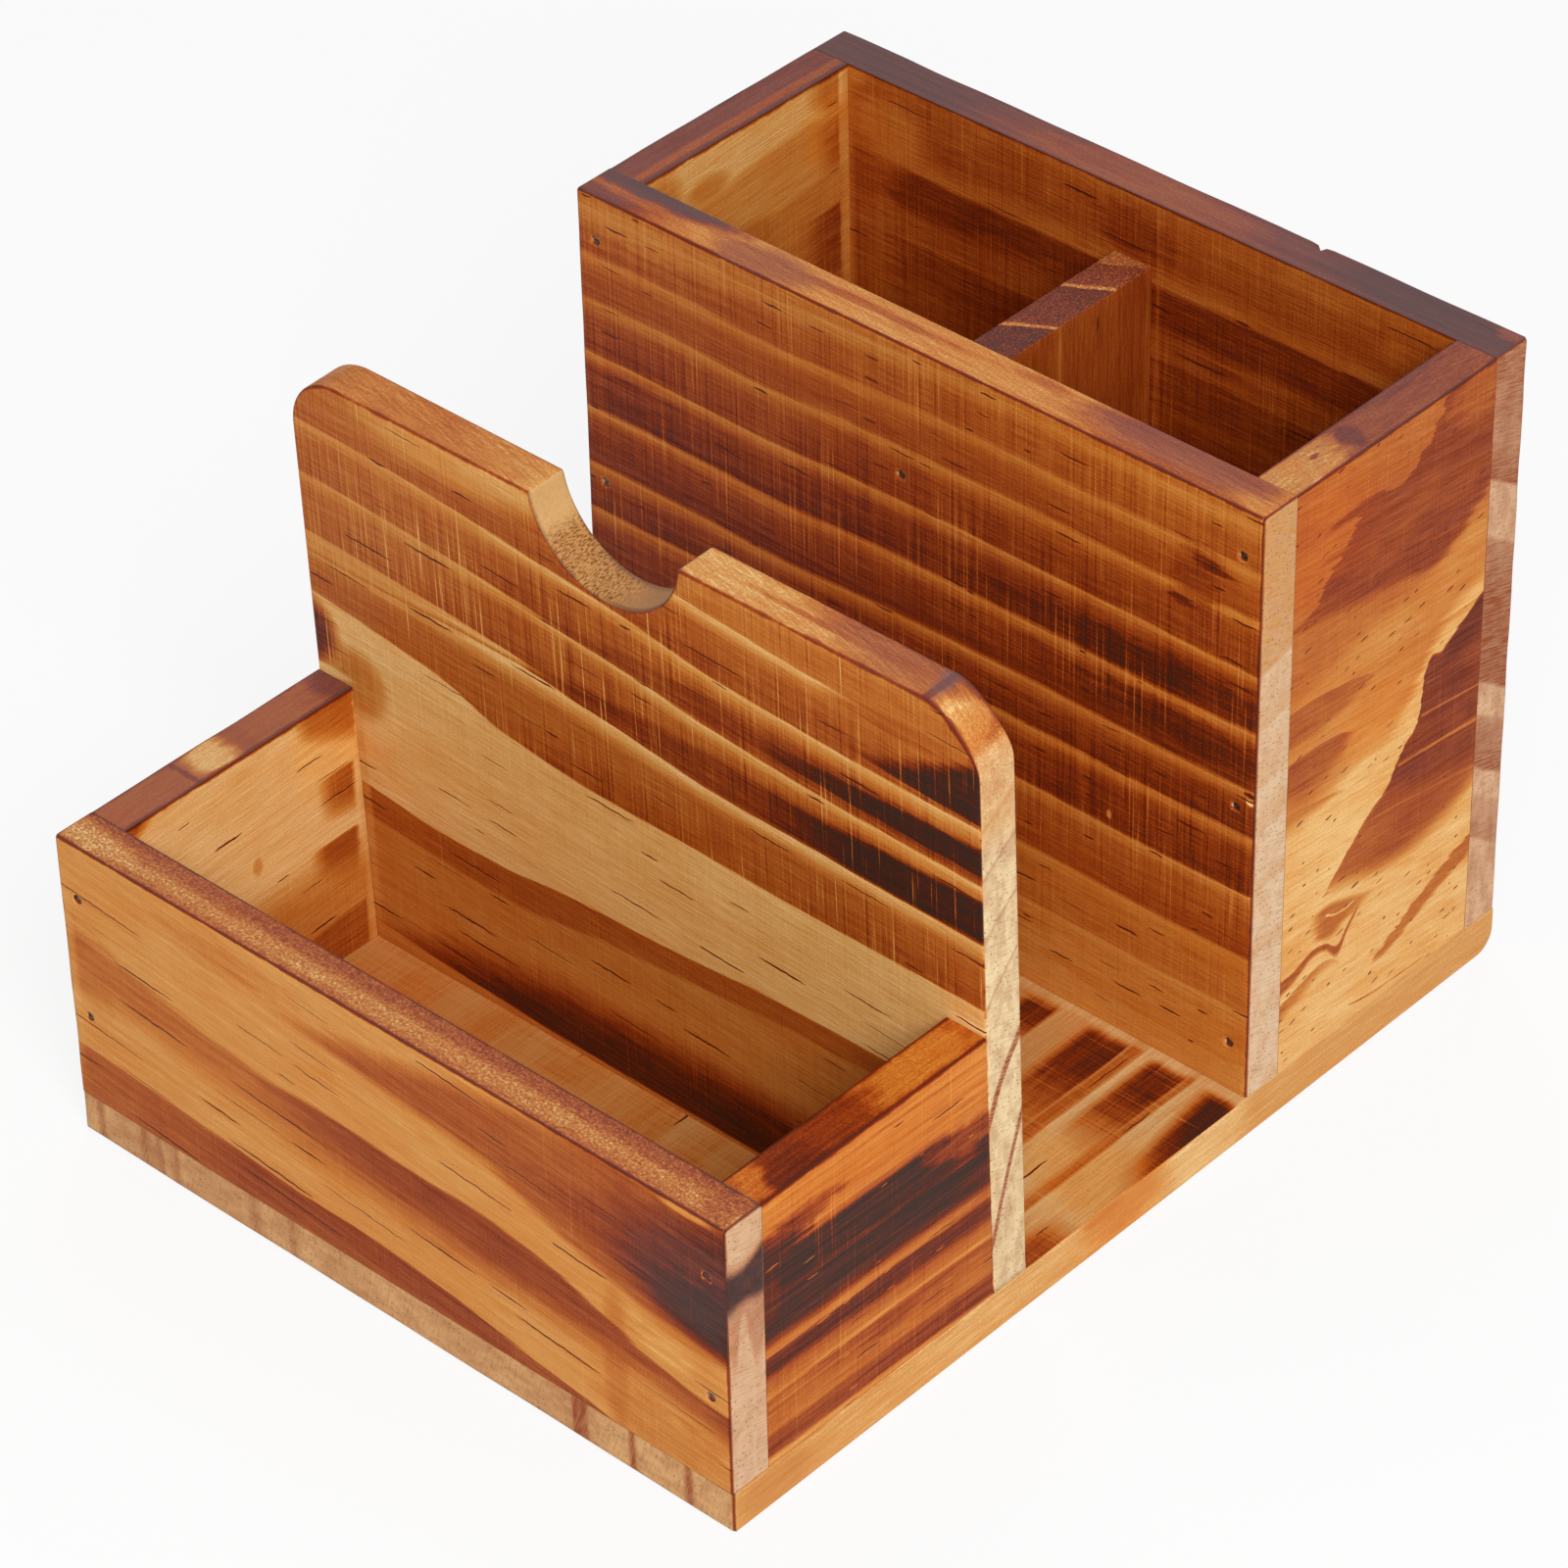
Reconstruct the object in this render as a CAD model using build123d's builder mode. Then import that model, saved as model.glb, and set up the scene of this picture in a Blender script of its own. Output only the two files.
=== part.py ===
from build123d import *
from math import cos, radians, tan
import os

# Napkin holder with a front tray and a divided caddy, nailed and glued up from one pine stock.
# Millimetres. +Z is up, +Y runs from the tray to the caddy, and the origin is the middle
# of the footprint on the table.

# Stock and overall width
board = 10.0
width = 180.0

# Front tray, measured inside from front to back and above the base board
tray_depth = 65.0
tray_height = 66.0

# Napkin slot between the backrest's foot and the caddy
slot_depth = 68.0

# Caddy, measured the same way as the tray
caddy_depth = 62.0
caddy_height = 143.0
divider_height = 127.5
divider_offset = -2.0

# Backrest, which leans a little towards the tray, with a finger notch in its top edge
backrest_height = 141.0
backrest_lean = 1.8
backrest_corner = 13.5
notch_radius = 19.5
notch_drop = 17.0
notch_offset = -4.3

# Rounding of the outer arrises, and of the base board's lower back edge
arris = 0.7
base_back_round = 5.0

# Brad with its head punched below the surface
brad_length = 25.0
brad_shank_radius = 0.6
brad_head_radius = 0.85
brad_head_height = 0.8
brad_point = 1.6
brad_sink = 0.5
brad_clearance = 0.03

# Brad places: heights are above the base board or below a board's top edge
tray_brad_low = 22.0
tray_brad_drop = 14.0
caddy_brad_low = 12.0
caddy_brad_drop = 11.0
divider_brad_low = 38.0
divider_brad_drop = 16.0
base_brad_inset = 30.0

# Planes that the boards stand on and against, from front to back
overall_depth = 4 * board + tray_depth + slot_depth + caddy_depth
front_y = -overall_depth / 2
tray_y = front_y + board
backrest_y = tray_y + tray_depth
slot_y = backrest_y + board / cos(radians(backrest_lean))
caddy_front_y = backrest_y + board + slot_depth
caddy_y = caddy_front_y + board
caddy_back_y = caddy_y + caddy_depth
back_y = caddy_back_y + board

base_top = board
side_x = width / 2 - board / 2
lean_run = board * tan(radians(backrest_lean))

# Front face of the backrest, seen from the tray, with its origin at the foot
backrest_front = Plane(
    origin=(0, backrest_y, base_top),
    x_dir=(1, 0, 0),
    z_dir=Vector(0, -1, 0).rotate(Axis.X, backrest_lean),
)
backrest_back = backrest_front.offset(-board)


# One brad, upright, its head just under the wood's surface at the origin
with BuildPart() as brad:
    with BuildSketch(Plane.XZ):
        with BuildLine():
            head_top = -brad_sink
            head_bottom = head_top - brad_head_height
            tip = head_top - brad_length
            Polyline(
                (0, head_top),
                (brad_head_radius, head_top),
                (brad_head_radius, head_bottom),
                (brad_shank_radius, head_bottom),
                (brad_shank_radius, tip + brad_point),
                (0, tip),
                close=True,
            )
        make_face()
    revolve(axis=Axis.Z)


# Brad places: each is a plane on the wood's surface that faces out of the wood
def facing_front(x, y, z):
    return Plane(origin=(x, y, z), z_dir=(0, -1, 0))


def facing_back(x, y, z):
    return Plane(origin=(x, y, z), z_dir=(0, 1, 0))


def facing_down(x, y):
    return Plane(origin=(x, y, 0), z_dir=(0, 0, -1))


tray_heights = (tray_brad_low, tray_height - tray_brad_drop)
caddy_top = caddy_height - caddy_brad_drop
caddy_heights = (caddy_brad_low, (caddy_brad_low + caddy_top) / 2, caddy_top)
divider_heights = (divider_brad_low, divider_height - divider_brad_drop)
sides = (-side_x, side_x)
row = (-width / 2 + base_brad_inset, 0, width / 2 - base_brad_inset)

tray_front_places = [facing_front(x, front_y, base_top + h) for x in sides for h in tray_heights]
backrest_places = [
    Plane(origin=backrest_back.from_local_coords((x, h, 0)), z_dir=-backrest_front.z_dir)
    for x in sides
    for h in tray_heights
]
caddy_front_places = [
    facing_front(x, caddy_front_y, base_top + h) for x in sides for h in caddy_heights
]
caddy_back_places = [facing_back(x, back_y, base_top + h) for x in sides for h in caddy_heights]
divider_front_places = [
    facing_front(divider_offset, caddy_front_y, base_top + h) for h in divider_heights
]
divider_back_places = [facing_back(divider_offset, back_y, base_top + h) for h in divider_heights]
base_tray_places = [facing_down(x, front_y + board / 2) for x in row] + [
    facing_down(x, tray_y + tray_depth / 2) for x in sides
]
base_backrest_places = [facing_down(x, (backrest_y + slot_y) / 2) for x in row]
base_caddy_places = (
    [facing_down(x, caddy_front_y + board / 2) for x in row]
    + [facing_down(x, caddy_y + caddy_depth / 2) for x in (*sides, divider_offset)]
    + [facing_down(x, caddy_back_y + board / 2) for x in row]
)


# Holes of a set of brads, cut from the board that is being made
def drill(places):
    with Locations(*places):
        CounterBoreHole(
            radius=brad_shank_radius + brad_clearance,
            counter_bore_radius=brad_head_radius + brad_clearance,
            counter_bore_depth=brad_sink + brad_head_height,
            depth=brad_sink + brad_length,
        )


# Base board under everything
with BuildPart() as base_board:
    with BuildSketch():
        Rectangle(width, overall_depth)
    extrude(amount=board)
    fillet(base_board.edges().group_by(Axis.Z)[0].sort_by(Axis.Y)[-1], base_back_round)
    fillet(base_board.edges().group_by(Axis.Z)[0].sort_by(Axis.Y)[0], arris)
    fillet(base_board.edges().filter_by(Axis.Z).group_by(Axis.Y)[0], arris)
    drill(base_tray_places + base_backrest_places + base_caddy_places)

# Front board of the tray
with BuildPart() as tray_front:
    with BuildSketch(Plane.XY.offset(base_top)):
        with Locations((0, front_y + board / 2)):
            Rectangle(width, board)
    extrude(amount=tray_height)
    fillet(
        tray_front.faces().sort_by(Axis.Y)[0].edges().sort_by(Axis.Z)[1:]
        + tray_front.edges().filter_by(Axis.Y).group_by(Axis.Z)[-1],
        arris,
    )
    drill(tray_front_places + base_tray_places)


# Side of the tray, its back end cut to the backrest's lean
def tray_side(x, outside):
    with BuildPart() as side:
        with BuildSketch(Plane.XY.offset(base_top)):
            with Locations((x, tray_y + tray_depth / 2)):
                Rectangle(board, tray_depth)
        extrude(amount=tray_height)
        split(bisect_by=backrest_front, keep=Keep.TOP)
        fillet(side.edges().filter_by(Axis.Y).group_by(Axis.Z)[-1].sort_by(Axis.X)[outside], arris)
        drill(tray_front_places + backrest_places + base_tray_places)
    return side


tray_side_left = tray_side(-side_x, 0)
tray_side_right = tray_side(side_x, -1)

# Backrest, cut level at the foot so that it stands flat on the base board
with BuildPart() as backrest:
    with BuildSketch(backrest_front) as backrest_outline:
        with Locations((0, -lean_run)):
            Rectangle(width, backrest_height + lean_run, align=(Align.CENTER, Align.MIN))
        fillet(backrest_outline.vertices().group_by(Axis.Y)[-1], backrest_corner)
        with Locations((notch_offset, backrest_height - notch_drop + notch_radius)):
            Circle(notch_radius, mode=Mode.SUBTRACT)
    extrude(amount=-board)
    split(bisect_by=Plane.XY.offset(base_top), keep=Keep.TOP)
    lean_axis = Axis(backrest_front.origin, backrest_front.z_dir)
    back_face, *_, front_face = backrest.faces().sort_by(lean_axis)
    fillet((front_face.edges() + back_face.edges()).sort_by(Axis.Z)[2:], arris)
    drill(backrest_places + base_backrest_places)

# Front board of the caddy, which the napkins lean against
with BuildPart() as caddy_front:
    with BuildSketch(Plane.XY.offset(base_top)):
        with Locations((0, caddy_front_y + board / 2)):
            Rectangle(width, board)
    extrude(amount=caddy_height)
    fillet(
        caddy_front.faces().sort_by(Axis.Y)[0].edges().sort_by(Axis.Z)[1:]
        + caddy_front.edges().filter_by(Axis.Y).group_by(Axis.Z)[-1],
        arris,
    )
    drill(caddy_front_places + divider_front_places + base_caddy_places)


# Side of the caddy
def caddy_side(x, outside):
    with BuildPart() as side:
        with BuildSketch(Plane.XY.offset(base_top)):
            with Locations((x, caddy_y + caddy_depth / 2)):
                Rectangle(board, caddy_depth)
        extrude(amount=caddy_height)
        fillet(side.edges().filter_by(Axis.Y).group_by(Axis.Z)[-1].sort_by(Axis.X)[outside], arris)
        drill(caddy_front_places + caddy_back_places + base_caddy_places)
    return side


caddy_side_left = caddy_side(-side_x, 0)
caddy_side_right = caddy_side(side_x, -1)

# Back board of the caddy
with BuildPart() as caddy_back:
    with BuildSketch(Plane.XY.offset(base_top)):
        with Locations((0, caddy_back_y + board / 2)):
            Rectangle(width, board)
    extrude(amount=caddy_height)
    fillet(
        caddy_back.faces().sort_by(Axis.Y)[-1].edges().sort_by(Axis.Z)[1:]
        + caddy_back.edges().filter_by(Axis.Y).group_by(Axis.Z)[-1],
        arris,
    )
    drill(caddy_back_places + divider_back_places + base_caddy_places)

# Divider between the two caddy compartments, lower than the rim
with BuildPart() as caddy_divider:
    with BuildSketch(Plane.XY.offset(base_top)):
        with Locations((divider_offset, caddy_y + caddy_depth / 2)):
            Rectangle(board, caddy_depth)
    extrude(amount=divider_height)
    drill(divider_front_places + divider_back_places + base_caddy_places)


# Brads of one joint, each a separate solid
def brad_group(places):
    with BuildPart() as group:
        with Locations(*places):
            add(brad.part)
    return group


pieces = {
    "base_board": base_board,
    "tray_front": tray_front,
    "tray_side_left": tray_side_left,
    "tray_side_right": tray_side_right,
    "backrest": backrest,
    "caddy_front": caddy_front,
    "caddy_side_left": caddy_side_left,
    "caddy_side_right": caddy_side_right,
    "caddy_back": caddy_back,
    "caddy_divider": caddy_divider,
    "tray_front_brads": brad_group(tray_front_places),
    "backrest_brads": brad_group(backrest_places),
    "caddy_front_brads": brad_group(caddy_front_places),
    "caddy_back_brads": brad_group(caddy_back_places),
    "divider_front_brads": brad_group(divider_front_places),
    "divider_back_brads": brad_group(divider_back_places),
    "base_tray_brads": brad_group(base_tray_places),
    "base_backrest_brads": brad_group(base_backrest_places),
    "base_caddy_brads": brad_group(base_caddy_places),
}

os.makedirs("parts", exist_ok=True)
for name, piece in pieces.items():
    piece.part.label = name
    export_step(piece.part, f"parts/{name}.step")
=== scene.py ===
import math
import bpy
import numpy as np
from mathutils import Euler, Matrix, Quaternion, Vector


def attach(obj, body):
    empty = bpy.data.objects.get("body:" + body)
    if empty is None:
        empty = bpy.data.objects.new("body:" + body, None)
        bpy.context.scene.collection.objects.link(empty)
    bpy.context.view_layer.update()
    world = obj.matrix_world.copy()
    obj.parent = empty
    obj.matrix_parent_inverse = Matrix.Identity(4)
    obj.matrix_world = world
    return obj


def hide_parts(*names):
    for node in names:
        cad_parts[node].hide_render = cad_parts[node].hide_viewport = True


# Looks of the charred pine napkin holder: every board is a new shell over its CAD node, and the
# steel brads stay CAD nodes. Board sizes and patterns are in millimetres, as in the part's source

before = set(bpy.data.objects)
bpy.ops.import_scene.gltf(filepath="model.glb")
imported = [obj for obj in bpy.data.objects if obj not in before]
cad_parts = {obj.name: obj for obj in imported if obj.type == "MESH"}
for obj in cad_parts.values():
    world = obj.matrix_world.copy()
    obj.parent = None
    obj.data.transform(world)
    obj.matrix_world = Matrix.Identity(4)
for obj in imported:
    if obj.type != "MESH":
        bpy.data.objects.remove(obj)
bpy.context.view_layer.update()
millimetre = 0.001

photoCamera = {
    "target": (0.00225, -0.00512, 0.06961),
    "azimuth": 43.109,  # from the tray's side towards the right
    "elevation": 37.460,
    "roll": -1.340,
    "distance": 1.29498,
    "lens": 148.595,
    "sensor": 36,
}

studio = {
    "worldStrength": 0.4,
    "keyPower": 30.0,
    "keyPlace": (1.12, -0.84, 1.3),
    "keySize": 0.95,
    "topPower": 4.0,
    "topPlace": (-0.6, 0.7, 1.5),
    "topSize": 0.8,
    "floorColour": (232, 232, 232),
    "floorDrop": 0.00002,  # so that the underside isn't in the same plane
    "floorGlow": 0.84,  # how far the camera sees the floor as pure white
    "floorHalf": 4.0,
    "floorRoughness": 0.9,
    "floorShine": 0.1,
    "lampAim": (0, 0, 0.06),
}


# sRGB bytes to the linear colour that Blender uses
def colour(red, green, blue):
    share = np.array((red, green, blue)) / 255
    linear = np.where(share <= 0.04045, share / 12.92, ((share + 0.055) / 1.055) ** 2.4)
    return (*(float(part) for part in linear), 1.0)


# Camera on a ball round the target, looking at it, then rolled about its own axis
def placeCamera(view):
    azimuth, elevation = math.radians(view["azimuth"]), math.radians(view["elevation"])
    level = math.cos(elevation)
    away = Vector((level * math.sin(azimuth), -level * math.cos(azimuth), math.sin(elevation)))
    camera = bpy.data.objects.new("photoCamera", bpy.data.cameras.new("photoCamera"))
    bpy.context.scene.collection.objects.link(camera)
    camera.data.lens = view["lens"]
    camera.data.sensor_width = view["sensor"]
    camera.location = Vector(view["target"]) + view["distance"] * away
    turn = (-away).to_track_quat("-Z", "Y") @ Quaternion((0, 0, 1), math.radians(view["roll"]))
    camera.rotation_euler = turn.to_euler()
    bpy.context.scene.camera = camera


placeCamera(photoCamera)
print("camera placed")


# A node's output: sums and products of it make Math nodes in its own tree. Wherever a helper
# below takes a value, a plain number or colour does too
class Value:
    def __init__(self, socket):
        self.socket = socket
        self.tree = socket.id_data

    def __add__(self, other):
        return calc("ADD", self, other)

    def __sub__(self, other):
        return calc("SUBTRACT", self, other)

    def __rsub__(self, other):
        return calc("SUBTRACT", other, self)

    def __mul__(self, other):
        return calc("MULTIPLY", self, other)

    def __truediv__(self, other):
        return calc("DIVIDE", self, other)

    def __pow__(self, other):
        return calc("POWER", self, other)

    __radd__ = __add__
    __rmul__ = __mul__


def feed(socket, value):
    if isinstance(value, Value):
        value.tree.links.new(value.socket, socket)
    else:
        socket.default_value = value


# A new node beside the values that it takes, which are listed by the input's name or number
def makeNode(kind, values, **settings):
    tree = next(value.tree for value in values.values() if isinstance(value, Value))
    node = tree.nodes.new("ShaderNode" + kind)
    for setting, choice in settings.items():
        setattr(node, setting, choice)
    for label, value in values.items():
        feed(node.inputs[label], value)
    return node


def calc(operation, *values):
    return Value(makeNode("Math", dict(enumerate(values)), operation=operation).outputs[0])


def mixValue(share, first, second):
    return Value(makeNode("Mix", {0: share, 2: first, 3: second}).outputs[0])


def mixColour(share, first, second, blend="MIX"):
    node = makeNode("Mix", {0: share, 6: first, 7: second}, data_type="RGBA", blend_type=blend)
    return Value(node.outputs[2])


def rescale(value, low, high, newLow=0.0, newHigh=1.0, kind="SMOOTHSTEP"):
    ends = dict(enumerate((value, low, high, newLow, newHigh)))
    return Value(makeNode("MapRange", ends, interpolation_type=kind).outputs[0])


def vector(*values):
    return Value(makeNode("CombineXYZ", dict(enumerate(values))).outputs[0])


def parts(value):
    return [Value(socket) for socket in makeNode("SeparateXYZ", {0: value}).outputs]


# Noise whose grain is that many millimetres long, high and deep
def grainNoise(place, size, detail, roughness, shift=0.0):
    x, y, z = (part / length for part, length in zip(place, size))
    values = {"Vector": vector(x, y, z + shift), "Scale": 1.0, "Detail": detail, "Roughness": roughness}
    return Value(makeNode("TexNoise", values).outputs[0])


# A new node group and the values of its inputs, which are given with their starting values
def newGroup(name, inputs, outputs):
    tree = bpy.data.node_groups.new(name, "ShaderNodeTree")
    for label, start in inputs.items():
        kind = "NodeSocketColor" if isinstance(start, tuple) else "NodeSocketFloat"
        tree.interface.new_socket(label, in_out="INPUT", socket_type=kind).default_value = start
    for label in outputs:
        kind = "NodeSocketColor" if label == "Color" else "NodeSocketFloat"
        tree.interface.new_socket(label, in_out="OUTPUT", socket_type=kind)
    return tree, [Value(socket) for socket in tree.nodes.new("NodeGroupInput").outputs if socket.name]


def finishGroup(tree, *results):
    for socket, value in zip(tree.nodes.new("NodeGroupOutput").inputs, results):
        feed(socket, value)
    return tree


# Places a group in the tree of the values that go into it: its one output, or the list of them
def placeGroup(group, **values):
    outputs = [Value(socket) for socket in makeNode("Group", values, node_tree=group).outputs]
    return outputs if len(outputs) > 1 else outputs[0]


# A place on a board in millimetres, which most groups take first
coordinates = {"Along": 0.0, "Height": 0.0, "Depth": 0.0}


# Streaky shift of a place: noise thin across the grain moves it along, slow noise moves it up
def makeStreakShift():
    inputs = {**coordinates, "Seed": 0.0, "Reach": 6.0, "Wave": 0.6}
    tree, (*place, seed, reach, wave) = newGroup("streakShift", inputs, ["Along", "Height"])
    streak = (grainNoise(place, (60, 1.6, 6), 3, 0.62, seed) - 0.5) * reach
    slow = (grainNoise(place, (38, 9, 9), 2, 0.5, seed) - 0.5) * wave
    fine = (grainNoise(place, (6, 0.5, 4), 1, 0.5, seed) - 0.5) * 0.5
    return finishGroup(tree, streak * 2.0 + place[0], slow * 2.0 + place[1] + fine)


# Fibres: noise drawn out along the grain, coarse and fine, broad patches, and even specks
def makeFibres():
    outputs = {
        "Streak": ((60, 1.5, 1.5), 3, 0.65),
        "Fine": ((9, 0.4, 0.4), 2, 0.6),
        "Patch": ((26, 13, 13), 3, 0.6),
        "Speck": ((0.6, 0.5, 0.5), 1, 0.5),
    }
    tree, (*place, seed) = newGroup("fibres", {**coordinates, "Seed": 0.0}, outputs)
    return finishGroup(tree, *(grainNoise(place, *noise, seed) for noise in outputs.values()))


# Resin dashes: one thin ellipse in each cell of a stretched Voronoi pattern, some left out
dashDefaults = {"Spacing": 30.0, "Gap": 6.0, "Length": 8.0, "Thickness": 0.3, "Share": 0.5, "Slope": 0.0}


def makeResinDashes():
    tree, given = newGroup("resinDashes", {**coordinates, "Seed": 0.0, **dashDefaults}, ["Mask"])
    along, height, depth, seed, spacing, gap, length, thickness, share, slope = given
    x = along / spacing + seed
    y = (along * slope + height) / gap
    cells = makeNode("TexVoronoi", {"Vector": vector(x, y, 0.0), "Scale": 1.0}, voronoi_dimensions="2D")
    centreX, centreY, _ = parts(Value(cells.outputs["Position"]))
    longer, chance, thicker = parts(Value(cells.outputs["Color"]))
    bent = grainNoise((along, height, depth), (3, 3, 3), 1, 0.5) - 0.5
    offX = (x - centreX) * spacing / (length * (longer * 1.3 + 0.25))
    offY = ((y - centreY) * gap + bent * 0.7) / (thickness * (thicker * 0.75 + 0.38))
    inside = rescale(offX**2.0 + offY**2.0, 1.0, 0.6)
    return finishGroup(tree, inside * calc("LESS_THAN", chance, share))


# Brush marks: noise thin along the grain and long across it; all its lines, its peaks and its lows
def makeBrushMarks():
    tree, (*place, seed) = newGroup("brushMarks", {**coordinates, "Seed": 0.0}, ["Lines", "Pale", "Dark"])
    lines = grainNoise(place, (0.6, 44, 5), 2, 0.75, seed)
    fields = rescale(grainNoise(place, (14, 30, 9), 2, 0.5, seed), 0.33, 0.6)
    return finishGroup(tree, lines, rescale(lines, 0.6, 0.69) * fields, rescale(lines, 0.42, 0.3))


# One layer of tone between two lines and two ends, with a soft fade at each of the four
def makeToneBand():
    inputs = {
        "Tone": 0.0, "NewTone": 0.5, "Amount": 1.0, "Along": 0.0, "Height": 0.0,
        "Top": 10.0, "TopFade": 1.0, "Bottom": 0.0, "BottomFade": 1.0,
        "Start": -999.0, "StartFade": 1.0, "End": 999.0, "EndFade": 1.0,
    }
    tree, (tone, newTone, share, along, height, *sides) = newGroup("toneBand", inputs, ["Tone"])
    top, topFade, bottom, bottomFade, start, startFade, end, endFade = sides
    gaps = (top - height, height - bottom, along - start, end - along)
    for gap, fade in zip(gaps, (topFade, bottomFade, startFade, endFade)):
        share = share * rescale(gap, 0.0, fade)
    return finishGroup(tree, mixValue(share, tone, newTone))


# One patch of tone: full inside an oval, gone at its edge, which torn moves in and out
def makeTonePatch():
    inputs = {
        "Tone": 0.0, "NewTone": 0.5, "Amount": 1.0, "Along": 0.0, "Height": 0.0, "CentreAlong": 0.0,
        "CentreHeight": 0.0, "HalfLength": 10.0, "HalfHeight": 10.0, "Torn": 0.0,
    }
    tree, (tone, newTone, amount, along, height, *oval, torn) = newGroup("tonePatch", inputs, ["Tone"])
    centreAlong, centreHeight, halfLength, halfHeight = oval
    x, y = (along - centreAlong) / halfLength, (height - centreHeight) / halfHeight
    size = calc("SQRT", x**2.0 + y**2.0) + torn
    return finishGroup(tree, mixValue(rescale(size, 1.0, 0.4) * amount, tone, newTone))


pineTones = (
    (0.00, (250, 212, 148)),
    (0.07, (232, 186, 120)),
    (0.15, (213, 151, 78)),
    (0.28, (196, 120, 48)),
    (0.42, (174, 90, 30)),
    (0.56, (148, 64, 17)),
    (0.70, (118, 42, 9)),
    (0.84, (82, 30, 11)),
    (1.00, (52, 33, 26)),
)


# Tone to colour: palest pine through honey and brown to char, warmed a little, or greyed by smoke; on the top
# edges that grey is partly a painted sheen
def makePineColour():
    inputs = {"Tone": 0.3, "Warmth": 0.0, "Smoke": 0.0}
    tree, (tone, warmth, smoke) = newGroup("pineColour", inputs, ["Color"])
    ramp = makeNode("ValToRGB", {0: tone})
    stops = ramp.color_ramp.elements
    for position, _ in pineTones[1:-1]:
        stops.new(position)
    for stop, (position, shade) in zip(stops, pineTones):
        stop.position, stop.color = position, colour(*shade)
    plain = Value(ramp.outputs[0])
    warm = mixColour(warmth, plain, mixColour(1.0, plain, (1.08, 0.86, 0.45, 1.0), "MULTIPLY"))
    # Smoke grey: soot on the faces, and on the top edges partly a painted sheen
    return finishGroup(tree, mixColour(smoke, warm, colour(104, 84, 86)))


# End grain: pale tan, ring lines where the ring value peaks, small pores, saw marks and torn spots
def makeEndGrain():
    tones = {"Pale": colour(222, 184, 146), "Line": colour(176, 106, 62)}
    inputs = {**coordinates, "Seed": 0.0, "Ring": 0.0, **tones}
    tree, (*place, seed, ring, pale, line) = newGroup("endGrain", inputs, ["Color", "Relief"])
    along, height, depth = place
    clouds = grainNoise(place, (9, 7, 3), 2, 0.6, seed)
    saw = grainNoise((along, depth * 0.3 + height, depth), (3, 0.45, 7), 2, 0.65, seed)
    spots = grainNoise(place, (2.4, 1.0, 1.7), 3, 0.7, seed)
    values = {"Vector": vector(height, depth * 1.3, 0.0), "Scale": 0.7}
    pores = makeNode("TexVoronoi", values, voronoi_dimensions="2D").outputs
    chance, *_ = parts(Value(pores["Color"]))
    pore = rescale(Value(pores["Distance"]), 0.2, 0.1) * calc("LESS_THAN", chance, 0.3)
    ring = calc("MAXIMUM", ring * rescale(saw, 0.36, 0.62, 1.2, 0.6), 0.0)
    base = mixColour(rescale(clouds, 0.35, 0.7, 0.0, 0.36), pale, line)
    base = mixColour(ring, base, line)
    sawn = mixColour(1.0, base, (0.74, 0.64, 0.52, 1.0), "MULTIPLY")
    base = mixColour(rescale(saw, 0.46, 0.68, 0.0, 0.6), base, sawn)
    base = mixColour(rescale(spots, 0.48, 0.72, 0.0, 0.5), base, sawn)
    base = mixColour(pore * 0.7, base, colour(128, 78, 50))
    return finishGroup(tree, base, spots * -0.12 + saw * -0.16)


# Scorch along an arris: strong at the edge, gone some way in, its width changed by noise
def makeArrisScorch():
    inputs = {**coordinates, "Seed": 0.0, "Distance": 5.0, "Width": 1.2}
    tree, (*place, seed, distance, width) = newGroup("arrisScorch", inputs, ["Mask"])
    width = width * (grainNoise(place, (6, 6, 6), 3, 0.7, seed) * 2.2 - 0.1)
    return finishGroup(tree, rescale(distance, calc("MAXIMUM", width, 0.1), 0.1))


streakShift = makeStreakShift()
fibres = makeFibres()
resinDashes = makeResinDashes()
brushMarks = makeBrushMarks()
toneBand = makeToneBand()
tonePatch = makeTonePatch()
pineColour = makePineColour()
endGrain = makeEndGrain()
arrisScorch = makeArrisScorch()
print("shared finishes made")


# A Float Curve through spots whose heights are 0 to 1, smooth or with straight runs
def curveThrough(value, spots, straight):
    low, high = spots[0][0], spots[-1][0]
    node = makeNode("FloatCurve", {"Value": rescale(value, low, high, kind="LINEAR")})
    curve = node.mapping.curves[0]
    spots = [((place - low) / (high - low), height) for place, height in spots]
    curve.points[0].location, curve.points[-1].location = spots[0], spots[-1]
    for spot in spots[1:-1]:
        curve.points.new(*spot)
    if straight:
        for point in curve.points:
            point.handle_type = "VECTOR"
    node.mapping.update()
    return Value(node.outputs[0])


# A smooth line through given points: place along the grain in, height across it out
def figureLine(along, points, reach=(-60.0, 240.0)):
    if isinstance(points, (int, float)):
        return float(points)
    spots = [(x, (y - reach[0]) / (reach[1] - reach[0])) for x, y in points]
    return rescale(curveThrough(along, spots, False), 0.0, 1.0, *reach, "LINEAR")


# A row of tones at set heights, straight between them
def toneRamp(position, stops):
    return curveThrough(position, [(height, min(max(tone, 0.0), 1.0)) for height, tone in stops], True)


# Growth rings across the board: each starts dark at its sharp side and fades to pale
def ringTone(position, rings, pale):
    heights = [height for height, _ in rings]
    stops = [(heights[0] - 16, pale)]
    for (height, dark), following in zip(rings, heights[1:] + [heights[-1] + 15]):
        stops += [(height - 0.25, pale), (height + 0.25, dark), (following - 4.2, 0.75 * dark + 0.25 * pale)]
    return toneRamp(position, sorted(stops) + [(heights[-1] + 16, pale)])


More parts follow.
